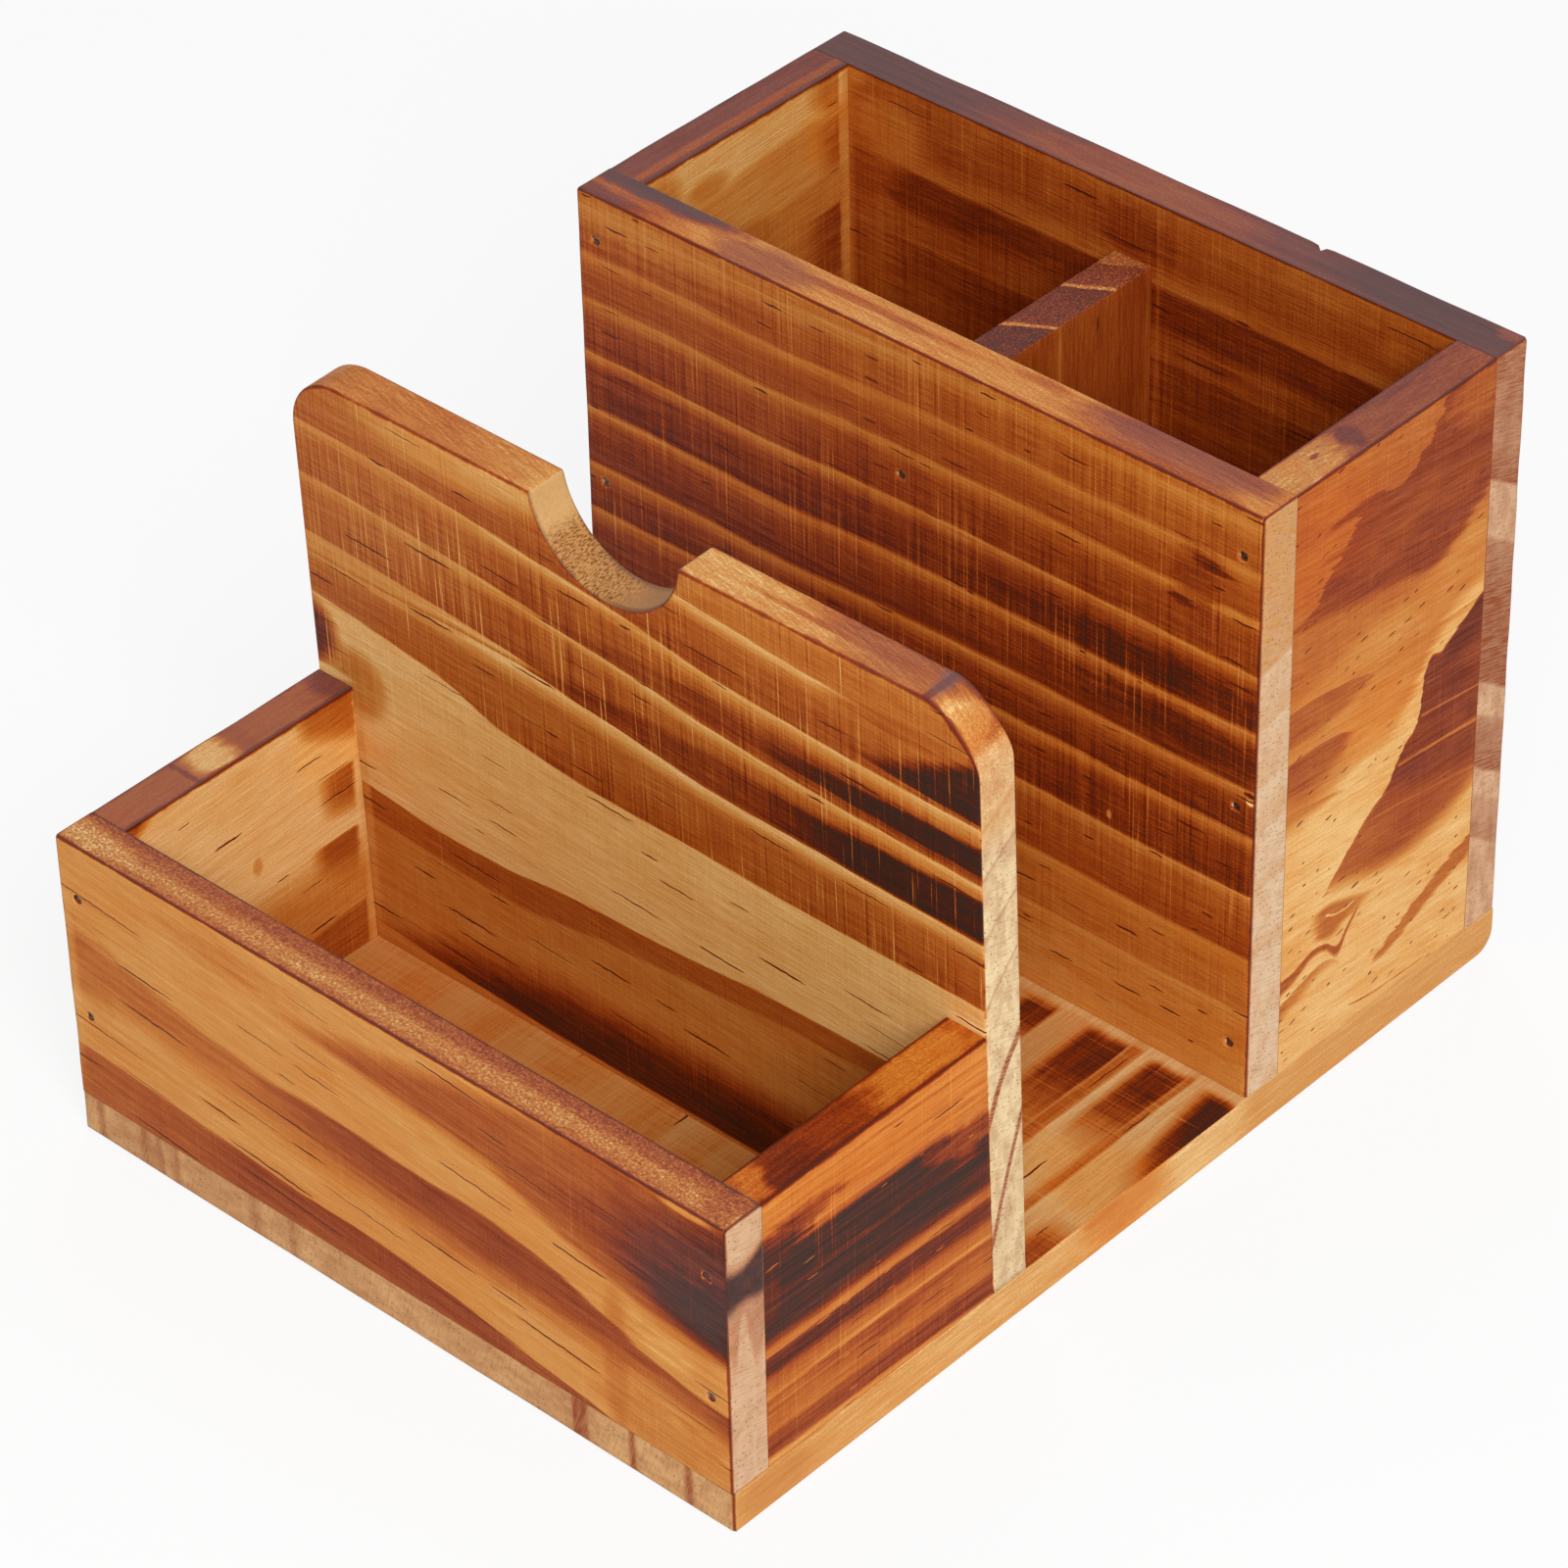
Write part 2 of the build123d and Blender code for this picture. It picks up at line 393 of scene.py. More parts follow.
# A band between two lines, each a height or points (along, height). Its fades are the softness of
# its top and bottom. start and end are (place, softness); fray 0 to 1 lets the grain's streaks tear
# these ends, which they do in full where it isn't given; a burnt band stays near the board's face
def band(tone, top, bottom, fades, **more):
    return {"tone": tone, "top": top, "bottom": bottom, "fades": fades, **more}


def paintBands(tone, places, height, skin, bands):
    for one in bands:
        along = mixValue(one["fray"], *places) if "fray" in one else places[1]
        start, startFade = one.get("start", (-999, 1))
        end, endFade = one.get("end", (999, 1))
        tone = placeGroup(
            toneBand, Tone=tone, Along=along, Height=height, Top=figureLine(along, one["top"]),
            Bottom=figureLine(along, one["bottom"]), TopFade=one["fades"][0], BottomFade=one["fades"][1],
            Start=start, StartFade=startFade, End=end, EndFade=endFade, NewTone=one["tone"],
            Amount=one.get("amount", 1.0) * (skin if one.get("burnt") else 1.0),
        )
    return tone


# Oval patches: (centre along, centre height, half length, half height, new tone, amount)
def paintPatches(tone, along, height, skin, patches, torn=0.0):
    for centreAlong, centreHeight, halfLength, halfHeight, newTone, amount in patches:
        tone = placeGroup(
            tonePatch, Tone=tone, Along=along, Height=height, CentreAlong=centreAlong,
            CentreHeight=centreHeight, HalfLength=halfLength, HalfHeight=halfHeight, NewTone=newTone,
            Amount=skin * amount, Torn=torn,
        )
    return tone


# What every board's finish has unless its own dictionary says otherwise
boardDefaults = {
    "grain": 0,  # axis that the grain runs along
    "across": 2,  # axis up the face
    "through": 1,  # axis through the board
    "faceAt": 0.0,  # where the seen face lies on that axis
    "inward": 1.0,  # which way it goes into the wood
    "lean": 0.0,
    "leanOrigin": (0, 0, 0),
    "slope": 0.0,  # fall of the fibres along the grain
    "pale": 0.2,
    "bend": 0.0,
    "rise": 0.5,  # rings climb this much per millimetre of depth
    "rings": None,
    "stops": None,
    "bands": (),
    "patches": (),
    "margins": (),  # patches that the grain doesn't tear
    "burnDepth": 2.5,
    "reach": 7.0,
    "wave": 0.9,
    "seed": 0.0,
    "streak": 0.24,
    "fine": 0.36,
    "patch": 0.16,
    "speck": 0.16,
    "brush": 0.0,
    "brushLines": 0.1,
    "brushFrom": None,  # heights between which the brush marks grow to full strength
    "dashes": (34.0, 5.0, 9.0, 0.32, 0.4, 0.05),  # in the order of dashDefaults
    "dashStrength": 0.9,
    "dashTone": 0.86,
    "chips": None,  # small pale chips in the char, as dashes
    "chipStrength": 0.8,
    "chipTone": 0.26,
    "edgeAxis": 2,
    "edgeTone": 0.6,
    "edgeStops": None,
    # grey over the top edges: soot, and partly a painted sheen
    "edgeSmokeAndSheen": 0.3,
    "edgeSpeck": 0.2,
    "edgeScratch": 0.0,
    "edgePatches": (),
    "edgeSmokeAndSheenPatches": (),
    "edgeMargins": (),  # the same without torn edges
    "smokePatches": (),
    "paleSmoke": 0.0,  # a thin haze over the pale wood alone
    "endPale": (220, 182, 144),
    "endLine": (178, 112, 70),
    "endStops": None,
    "endTone": 0.9,
    "endBurn": 0.0,
    "endBands": (),
    "warmth": 0.15,
    "warmPatches": (),
    "notch": None,
    "scorchWidth": 0.75,
    "scorchTone": 0.95,
    "scorchStrength": 0.75,
    "rimTone": 0.16,  # pale ring round a punched brad
    "pitTone": 0.84,  # its dark middle
    "fibreRelief": 0.16,  # millimetres
    "bumpStrength": 0.8,
}


def newMaterial(name):
    material = bpy.data.materials.new(name)
    material.use_nodes = True
    material.node_tree.nodes.clear()
    return material, material.node_tree.nodes.new("ShaderNodeTexCoord").outputs


# The material's shader and output, with a Bump node between the relief and its Normal
def finishMaterial(material, relief, bump, values):
    bumped = makeNode("Bump", {"Height": relief, **bump})
    shader = makeNode("BsdfPrincipled", {"Normal": Value(bumped.outputs["Normal"]), **values})
    makeNode("OutputMaterial", {"Surface": Value(shader.outputs[0])})
    return material


def attribute(material, name):
    node = material.node_tree.nodes.new("ShaderNodeAttribute")
    node.attribute_name = name
    return Value(node.outputs["Fac"])


# One board's finish: rings, bands and burns set the tone, fibres and marks roughen it,
# then top edges, end grain and arrises get their own
def boardFinish(name, values):
    look = {**boardDefaults, **values}
    seed = look["seed"]
    material, texture = newMaterial(name)
    turn = Euler((math.radians(-look["lean"]), 0, 0))
    place = {
        "Vector": Value(texture["Object"]),
        "Scale": (1000, 1000, 1000),
        "Rotation": turn,
        "Location": -(turn.to_matrix() @ Vector(look["leanOrigin"])),
    }
    axes = parts(Value(makeNode("Mapping", place).outputs[0]))
    along, height = axes[look["grain"]], axes[look["across"]]
    depth = (axes[look["through"]] - look["faceAt"]) * look["inward"]
    sloped = along * look["slope"] + height
    where = {"Along": along, "Height": height, "Depth": depth, "Seed": seed}
    whereSloped = {**where, "Height": sloped}
    wavy, raised = placeGroup(streakShift, **whereSloped, Reach=look["reach"], Wave=look["wave"])
    raised = raised - along * look["slope"]

    # Rings lie on a bent, tilted field, so faces and end grain show the same ones
    tilted = raised - depth * figureLine(height, look["rise"], (-5, 5))
    field = tilted - figureLine(along, look["bend"])
    tone = look["pale"]
    if look["rings"]:
        tone = ringTone(field, look["rings"], look["pale"])
    elif look["stops"]:
        tone = toneRamp(field, look["stops"])
    skin = rescale(depth, look["burnDepth"], 0.2)
    tone = paintBands(tone, (along, wavy), tilted, skin, look["bands"])
    torn = grainNoise((along, sloped, depth), (6, 2.2, 3), 2, 0.6, seed + 7) * 1.1 - 0.55
    lessTorn = torn * 0.5
    tone = paintPatches(tone, wavy, raised, skin, look["patches"], torn)
    tone = paintPatches(tone, along, height, skin, look["margins"])

    # Fibres, broad patches, specks, brush marks, resin dashes and chips
    noises = dict(zip(("streak", "fine", "patch", "speck"), placeGroup(fibres, **whereSloped)))
    rough = sum((noise - 0.5) * look[kind] for kind, noise in noises.items()) * (tone * 1.3 + 0.42)
    tone = tone + rough
    if look["brush"]:
        lines, pale, dark = placeGroup(brushMarks, **where)
        strong = rescale(tone, 0.1, 0.42, 0.2, 1.0)
        if look["brushFrom"]:
            strong = strong * rescale(height, *look["brushFrom"], 0.3, 1.0)
        marks = (pale * -1.0 + dark * 0.35) * look["brush"] * strong + 1.0
        tone = (tone - (lines - 0.5) * strong * look["brushLines"]) * marks
    for kind, shift in (("dash", 3), ("chip", 8)):
        pattern = look["dashes" if kind == "dash" else "chips"]
        if pattern:
            pattern = {**where, "Seed": seed + shift, **dict(zip(dashDefaults, pattern))}
            marks = placeGroup(resinDashes, **pattern) * look[kind + "Strength"]
            tone = mixValue(marks, tone, look[kind + "Tone"])

    # Edge faces along the grain carry their own burn, and a grey that is partly soot, partly a painted sheen
    facing = [calc("ABSOLUTE", part) for part in parts(Value(texture["Normal"]))]
    edgeFace = rescale(facing[look["edgeAxis"]], 0.5, 0.85)
    edgeTone = toneRamp(tilted, look["edgeStops"]) if look["edgeStops"] else look["edgeTone"]
    edgeTone = paintPatches(edgeTone, wavy, depth, 1.0, look["edgePatches"], lessTorn)
    edgeTone = paintPatches(edgeTone, along, depth, 1.0, look["edgeMargins"])
    edgeTone = edgeTone + rough + (noises["speck"] - 0.5) * look["edgeSpeck"]
    if look["edgeScratch"]:
        scratch = grainNoise((along, along * 0.3 + depth, height), (9, 0.34, 40), 2, 0.6, seed)
        edgeTone = edgeTone + (scratch - 0.5) * look["edgeScratch"]
    tone = mixValue(edgeFace, tone, edgeTone)

    # Burnt arrises and punched brads
    distance = attribute(material, "arrisDistance")
    scorch = placeGroup(arrisScorch, **where, Distance=distance, Width=look["scorchWidth"])
    scorch = scorch * look["scorchStrength"]
    tone = mixValue(scorch, tone, look["scorchTone"])
    punch = attribute(material, "punchMark")
    pit = rescale(punch, 0.35, 0.8)
    rim = (rescale(punch, 0.0, 0.3) - pit) * rescale(noises["fine"], 0.4, 0.6, 0.0, 0.8)
    tone = mixValue(rim, tone, look["rimTone"])
    tone = mixValue(pit * 0.8, tone, look["pitTone"])

    # Colour of the long grain, then the end grain where a face looks along the grain
    endFace = rescale(facing[look["grain"]], 0.55, 0.9)
    burnt = paintBands(look["endBurn"], (depth, depth), raised, 1.0, look["endBands"])
    burnt = calc("MAXIMUM", burnt, scorch)
    if look["endTone"] is not None:
        endTone = (burnt**2.0 * 0.65 + 0.35) * look["endTone"] + rough
        tone = mixValue(endFace * rescale(burnt, 0.0, 0.15), tone, endTone)
    warmth = rescale(noises["patch"], 0.35, 0.65, look["warmth"] - 0.12, look["warmth"] + 0.12)
    warmth = paintPatches(warmth, wavy, height, 1.0, look["warmPatches"], torn)
    haze = rescale(tone, 0.42, 0.12, 0.0, look["paleSmoke"])
    smoke = paintPatches(haze, wavy, raised, 1.0, look["smokePatches"], torn)
    # Grey over the top edges: soot, and partly a painted sheen
    edgeSmokeAndSheen = paintPatches(look["edgeSmokeAndSheen"], wavy, depth, 1.0, look["edgeSmokeAndSheenPatches"], lessTorn)
    body = placeGroup(pineColour, Tone=tone, Warmth=warmth, Smoke=mixValue(edgeFace, smoke, edgeSmokeAndSheen))
    endLook = {
        "Ring": toneRamp(field, look["endStops"]) if look["endStops"] else 0.0,
        "Pale": colour(*look["endPale"]),
        "Line": colour(*look["endLine"]),
    }
    endColour, endRelief = placeGroup(endGrain, **where, **endLook)
    final = mixColour(endFace * (1.0 - burnt), body, endColour)

    # Relief in millimetres: fibres and saw marks
    relief = mixValue(endFace, noises["fine"] * look["fibreRelief"], endRelief)
    if look["notch"]:
        final, relief = notchWall(look["notch"], final, relief, where, scorch)
    return finishMaterial(
        material,
        relief,
        {"Strength": look["bumpStrength"], "Distance": millimetre},
        {
            "Base Color": final,
            "Roughness": rescale(noises["streak"], 0.3, 0.7, 0.45, 0.62),
            "Specular IOR Level": 0.12,
        },
    )


# Rough sawn wall of the finger notch: all that lies on the notch's circle, in short ridges. turned
# is how far round the circle a place is from its lowest point, in millimetres
def notchWall(notch, final, relief, where, scorch):
    along, height, depth, seed = where.values()
    (middleX, middleV), radius = notch["middle"], notch["radius"]
    offX, offV = along - middleX, height - middleV
    away = calc("SQRT", offX**2.0 + offV**2.0)
    wall = rescale(away, *(radius + beyond for beyond in notch["reach"]))
    turned = calc("ARCTAN2", offX, offV * -1.0) * radius
    ridges = grainNoise((turned, away, depth), notch["ridge"], 3, 0.6, seed)
    tint = mixColour(rescale(ridges, 0.36, 0.6), colour(*notch["low"]), colour(*notch["high"]))
    smooth = rescale(turned, *notch["smoothFrom"])
    tint = mixColour(smooth * 0.8, tint, colour(*notch["smooth"]))
    polished = rescale(turned, *notch["polishedFrom"])
    tint = mixColour(polished * 0.8, tint, colour(*notch["polished"]))
    rims = [rescale(depth, *deep) * rescale(turned, *around) for deep, around in notch["burntRims"]]
    rim = calc("MAXIMUM", *rims) * notch["rimStrength"]
    tint = mixColour(calc("MAXIMUM", scorch, rim), tint, colour(*notch["burnt"]))
    ridges = ridges * (calc("MAXIMUM", smooth, polished) * -0.16 + 0.26)
    return mixColour(wall, final, tint), mixValue(wall, relief, ridges)


# Mesh making: lines at the fixed places, and evenly between them, no further apart than step
def spacedLines(fixed, step):
    fixed = np.unique(np.round(np.array(fixed, float), 4))
    counts = np.maximum(1, np.ceil(np.diff(fixed) / step)).astype(int)
    runs = [np.linspace(a, b, n, endpoint=False) for a, b, n in zip(fixed[:-1], fixed[1:], counts)]
    return np.concatenate(runs + [fixed[-1:]])


# Slow ripple: a few sine waves of about that length, with phases from the seed
def ripple(along, length, seed):
    rng = np.random.default_rng(seed)
    waves = rng.uniform(0.5, 1.6, 6) * 2 * np.pi / length
    phases = rng.uniform(0, 2 * np.pi, 6)
    return np.sin(np.multiply.outer(along, waves) + phases).mean(axis=-1)


faceSides = {
    "left": (0, 0), "right": (0, 1), "front": (1, 0), "back": (1, 1), "bottom": (2, 0), "top": (2, 1),
}
arrisRadius = 0.7  # of outer arrises
sharpRadius = 0.22  # of the arrises that boards share
pointStep = 1.6  # mesh points are this far apart at most
leastGap = 0.03  # mesh lines nearer than this become one
tiny = 1e-6
wear = {"deepest": 0.12, "length": 34, "offset": 0.2, "reach": 1.4}

# A punched brad hole: rings of points at these distances from its middle, and how deep each sinks
bradSteps = (0.0, 0.3, 0.6, 0.84, 1.0, 1.2, 1.6)
bradSink = (0.74, 0.74, 0.74, 0.74, 0.3, 0.05, 0)
bradReach = bradSteps[-1]
bradBlend = 0.4  # the rings go from round to square over this width at the outside
bradMark = (1.35, 0.5)  # where the mark of the punch ends, and its soft width


# Lines on both sides of each place, one for each of a brad hole's rings
def bradLines(places):
    return [place + sign * step for place in places for step in bradSteps for sign in (-1, 1)]


# Points on the skin of a box of lines, and the quads between them, each facing outwards
def boxShell(lines):
    shape = [len(line) for line in lines]
    skin = np.zeros(shape, bool)
    for axis in range(3):
        side = np.moveaxis(skin, axis, 0)
        side[0] = side[-1] = True
    number = np.full(shape, -1)
    number[skin] = np.arange(skin.sum())
    points = np.stack([grid[skin] for grid in np.meshgrid(*lines, indexing="ij")], axis=1)
    quads = []
    for axis in range(3):
        for last in (False, True):
            sheet = np.take(number, -1 if last else 0, axis)
            corners = [sheet[:-1, :-1], sheet[1:, :-1], sheet[1:, 1:], sheet[:-1, 1:]]
            if last == (axis == 1):
                corners.reverse()
            quads.append(np.stack([corner.ravel() for corner in corners], axis=1))
    return points, np.concatenate(quads)


# Rounds each edge of the box: the square rings of points round it, as wide as the radius, become
# quarter circles about one middle, and worn arrises also sink a little by a ripple
def roundEdges(points, low, high, rounding, least, burnt, seed):
    moved = points.copy()
    gaps = (points - low, high - points)
    arris = np.full(len(points), 99.0)
    names = list(faceSides)
    for one in range(6):
        for two in range(one + 1, 6):
            (axisA, sideA), (axisB, sideB) = faceSides[names[one]], faceSides[names[two]]
            if axisA == axisB:
                continue
            radius = rounding.get((names[one], names[two]), rounding.get((names[two], names[one]), least))
            gapA, gapB = gaps[sideA][:, axisA], gaps[sideB][:, axisB]
            third = 3 - axisA - axisB
            if radius > least or (names[one], names[two]) in burnt:
                arris = np.minimum(arris, np.hypot(gapA, gapB))
            if radius > least:
                waves = ripple(points[:, third], wear["length"], seed + one * 7 + two) + wear["offset"]
                worn = wear["deepest"] * np.clip(waves, 0, 1)
                worn = worn * np.clip(1 - np.hypot(gapA, gapB) / wear["reach"], 0, 1)
            else:
                worn = np.zeros(len(points))
            for here, far, hereAxis, farAxis, hereSide, farSide, again in (
                (gapA, gapB, axisA, axisB, sideA, sideB, False),
                (gapB, gapA, axisB, axisA, sideB, sideA, True),
            ):
                near = (here < far if again else here <= far) & (far < radius)
                ring = radius - here[near]
                angle = (1 - (far[near] - here[near]) / ring) * np.pi / 4
                across = radius - ring * np.sin(angle) - far[near] + worn[near]
                under = radius - ring * np.cos(angle) - here[near] + worn[near]
                moved[near, farAxis] += across * (1 - 2 * farSide)
                moved[near, hereAxis] += under * (1 - 2 * hereSide)
    return moved, arris


# Punches a brad hole: square rings of points become round ones, and the middle sinks
def punchHole(points, face, centre, axes, inwards):
    offset = points[:, axes] - centre
    square = np.abs(offset).max(axis=1)
    near = face & (square < bradReach)
    ring, spread = square[near], np.hypot(*offset[near].T)
    share = np.where(spread > tiny, ring / np.maximum(spread, tiny), 1)
    fade = np.clip((bradReach - ring) / bradBlend, 0, 1)[:, None]
    points[np.ix_(near, axes)] = centre + offset[near] * (1 + fade * (share[:, None] - 1))
    points[near] += np.interp(ring, bradSteps, bradSink)[:, None] * inwards
    mark = np.zeros(len(points))
    mark[near] = np.clip((bradMark[0] - ring) / bradMark[1], 0, 1)
    return mark


# A finished piece from points in millimetres, quads and its two surface values
def makePiece(name, points, quads, arris, punch, material, node):
    mesh = bpy.data.meshes.new(name)
    mesh.from_pydata((points * millimetre).astype(float), [], quads)
    mesh.polygons.foreach_set("use_smooth", np.ones(len(quads), bool))
    for label, values in (("arrisDistance", arris), ("punchMark", punch)):
        layer = mesh.attributes.new(label, "FLOAT", "POINT")
        layer.data.foreach_set("value", values.astype(np.float32))
    mesh.materials.append(material)
    mesh.update()
    piece = bpy.data.objects.new(name, mesh)
    bpy.context.scene.collection.objects.link(piece)
    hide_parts(node)
    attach(piece, "root")
    print("made", name, len(quads) * 2, "triangles")


# A straight board between two corners, with rounded edges, wear and brad holes
def makeBoard(name, node, form, finish):
    low, high = (np.array(corner, float) for corner in zip(*form["size"]))
    rounding = form.get("rounding", {})
    least = form.get("least", sharpRadius)
    brads = form.get("brads", {})
    fixed = [[low[axis], high[axis]] for axis in range(3)]
    for axis in range(3):
        fixed[axis] += form.get("lines", {}).get(axis, [])
        for face, (faceAxis, side) in faceSides.items():
            if faceAxis != axis:
                continue
            radii = {least} | {radius for pair, radius in rounding.items() if face in pair}
            for radius in radii:
                count = 8 if radius > 2 else 4
                steps = np.arange(1, count + 1) / count * radius
                fixed[axis] += list(low[axis] + steps if side == 0 else high[axis] - steps)
    for face, places in brads.items():
        axes = [axis for axis in range(3) if axis != faceSides[face][0]]
        for axis, middles in zip(axes, zip(*places)):
            fixed[axis] += bradLines(middles)
    lines = []
    for axis in range(3):
        inside = np.array(fixed[axis])
        inside = np.sort(inside[(inside >= low[axis] - tiny) & (inside <= high[axis] + tiny)])
        apart = np.concatenate([[True], np.diff(inside) > leastGap])
        lines.append(spacedLines(inside[apart], form.get("step", pointStep)))
        lines[axis][0], lines[axis][-1] = low[axis], high[axis]
    flat, quads = boxShell(lines)
    points, arris = roundEdges(flat, low, high, rounding, least, form.get("burnt", ()), form["seed"])
    punch = np.zeros(len(points))
    for face, places in brads.items():
        faceAxis, side = faceSides[face]
        axes = [axis for axis in range(3) if axis != faceAxis]
        on = np.abs(flat[:, faceAxis] - (high if side else low)[faceAxis]) < tiny
        inwards = np.zeros(3)
        inwards[faceAxis] = 1 - 2 * side
        for place in places:
            punch = np.maximum(punch, punchHole(points, on, np.array(place, float), axes, inwards))
    if "shape" in form:
        points = form["shape"](points)
    makePiece(name, points, quads, arris, punch, finish, node)


# The rounded arrises of a cross board whose outer face is the one named
def outerRounding(face):
    pairs = ((face, "top"), ("left", face), ("right", face), ("left", "top"), ("right", "top"))
    return dict.fromkeys(pairs, arrisRadius)


# Where the caddy's front and back hold brads, along the board and up
caddyBrads = [(x, z) for x in (-85, 85) for z in (22, 82, 142)] + [(-2, 48), (-2, 121.5)]

# The side boards' grain runs front to back, and their seen faces look to the right
sideGrain = {"grain": 1, "through": 0, "inward": -1.0}

# Base board: grain front to back, rings nearly upright, so they show as bars on its front end
baseForm = {
    "size": ((-90, 90), (-117.5, 117.5), (0, 10)),
    "rounding": {
        ("front", "bottom"): arrisRadius,
        ("left", "front"): arrisRadius,
        ("right", "front"): arrisRadius,
        ("back", "bottom"): 5.0,
    },
    "brads": {
        "bottom": [(x, y) for y in (-112.5, -37.5, 40.5, 112.5) for x in (-60, 0, 60)]
        + [(-85, -75), (85, -75), (-85, 76.5), (-2, 76.5), (85, 76.5)]
    },
    "step": 2.2,
    "seed": 11,
}
baseLook = {
    "grain": 1, "across": 0, "through": 2, "faceAt": 10.0, "inward": -1.0, "pale": 0.24, "rise": 0.02,
    "seed": 4.0, "brush": 0.5, "brushLines": 0.34, "paleSmoke": 0.22, "reach": 1.2, "wave": 0.5,
    "stops": [
        # From 43 mm rightwards the pale stops are paler than elsewhere: partly the grain's own pale bands,
        # partly painted light lifting the backrest's shade off the slot floor
        (-92, 0.26), (-78, 0.23), (-62, 0.3), (-52, 0.22), (-40, 0.31), (-30, 0.23), (-20, 0.3), (-8, 0.22),
        (0, 0.29), (8, 0.33), (9, 0.2), (20, 0.3), (21, 0.2), (30, 0.3), (31, 0.2), (42, 0.3), (43, 0.17),
        (61.6, 0.18), (62.2, 0.42), (64.6, 0.38), (65.2, 0.08), (76, 0.12), (77.2, 0.36), (78.6, 0.4),
        (79, 0.08), (81.2, 0.09), (81.5, 0.45), (81.8, 0.09), (92, 0.12),
    ],
    "bands": [
        band(0.38, 61.8, 49, (0.7, 4.0), start=(-13, 20), end=(33.8, 2.5), burnt=True),
        band(0.8, 61.8, 50, (0.7, 4.0), start=(2, 22), end=(33.4, 3.5), burnt=True),
        band(0.46, 77.2, 66.4, (0.7, 3.0), start=(-2, 18), end=(33.8, 2.5), burnt=True),
        band(0.76, 77.0, 67, (0.7, 3.5), start=(9, 15), end=(33.2, 3.5), burnt=True),
        band(
            0.5, 95, [(-14, 88), (6, 84), (32, 80)], (0.7, 4.0), start=(-6, 22), end=(33.6, 3.0),
            burnt=True,
        ),
        band(
            0.9, 95, [(-14, 89), (6, 85.5), (32, 82)], (0.7, 4.0), start=(-3, 26), end=(33.0, 4.0),
            burnt=True,
        ),
        band(0.58, 91, 82, (0.7, 5.0), end=(-15, 12), burnt=True),
        band(0.74, 43.8, 34, (1.5, 3.0), start=(16, 12), end=(33.4, 3.5), burnt=True),
        band(0.66, 29.5, 20, (1.0, 3.0), start=(4, 16), end=(33.4, 3.5), burnt=True),
        band(0.6, 11, -1, (1.0, 3.0), start=(-4, 20), end=(33.4, 3.5), burnt=True),
        band(0.62, -20, -34, (1.5, 3.0), start=(-8, 22), end=(33.4, 3.5), burnt=True),
        band(0.64, -50, -68, (1.5, 4.0), start=(-10, 24), end=(33.4, 3.5), burnt=True),
    ],
    "margins": [(35.0, 0, 2.4, 300, 0.1, 0.8)], "edgeAxis": 0, "edgeTone": 0.155, "edgeSmokeAndSheen": 0.08,
    "edgeSpeck": 0.02, "warmth": 0.04,
    "edgePatches": [
        (-30, 5, 70, 20, 0.1, 0.6), (24, 5, 16, 20, 0.08, 0.8), (-3, 2.5, 16, 9, 0.215, 0.9),
        (-9, 0.5, 9, 3.5, 0.28, 0.6), (-106, 5, 14, 9, 0.3, 0.5),
    ],
    "warmPatches": [(-3, 90, 17, 40, 0.95, 0.9)], "endPale": (215, 167, 113), "endLine": (150, 70, 30),
    "endStops": [
        (-92, 0.1), (-86, 0.1), (-84.5, 0.8), (-83, 0.1), (-78, 0.3), (-74, 0.2), (-72, 0.7), (-69, 0.35),
        (-67, 0.7), (-66, 0.1), (-62.5, 0.6), (-61, 0.1), (-52, 0.3), (-43, 0.1), (-40, 0.65), (-37, 0.1),
        (-31, 0.1), (-29, 0.65), (-27, 0.0), (-14, 0.25), (0, 0.0), (20, 0.25), (28, 0.05), (47.6, 0.3),
        (48, 1.0), (51.5, 0.95), (52.2, 0.1), (62.8, 0.0), (63.4, 1.0), (64.4, 0.9), (64.9, 0.0),
        (77.3, 0.0), (77.9, 1.0), (79.3, 0.9), (79.9, 0.0), (92, -0.1),
    ],
    "dashes": (26.0, 7.0, 5.0, 0.26, 0.35, 0.0), "scorchWidth": 0.8,
}
makeBoard("baseBoard", "base_board", baseForm, boardFinish("basePine", baseLook))

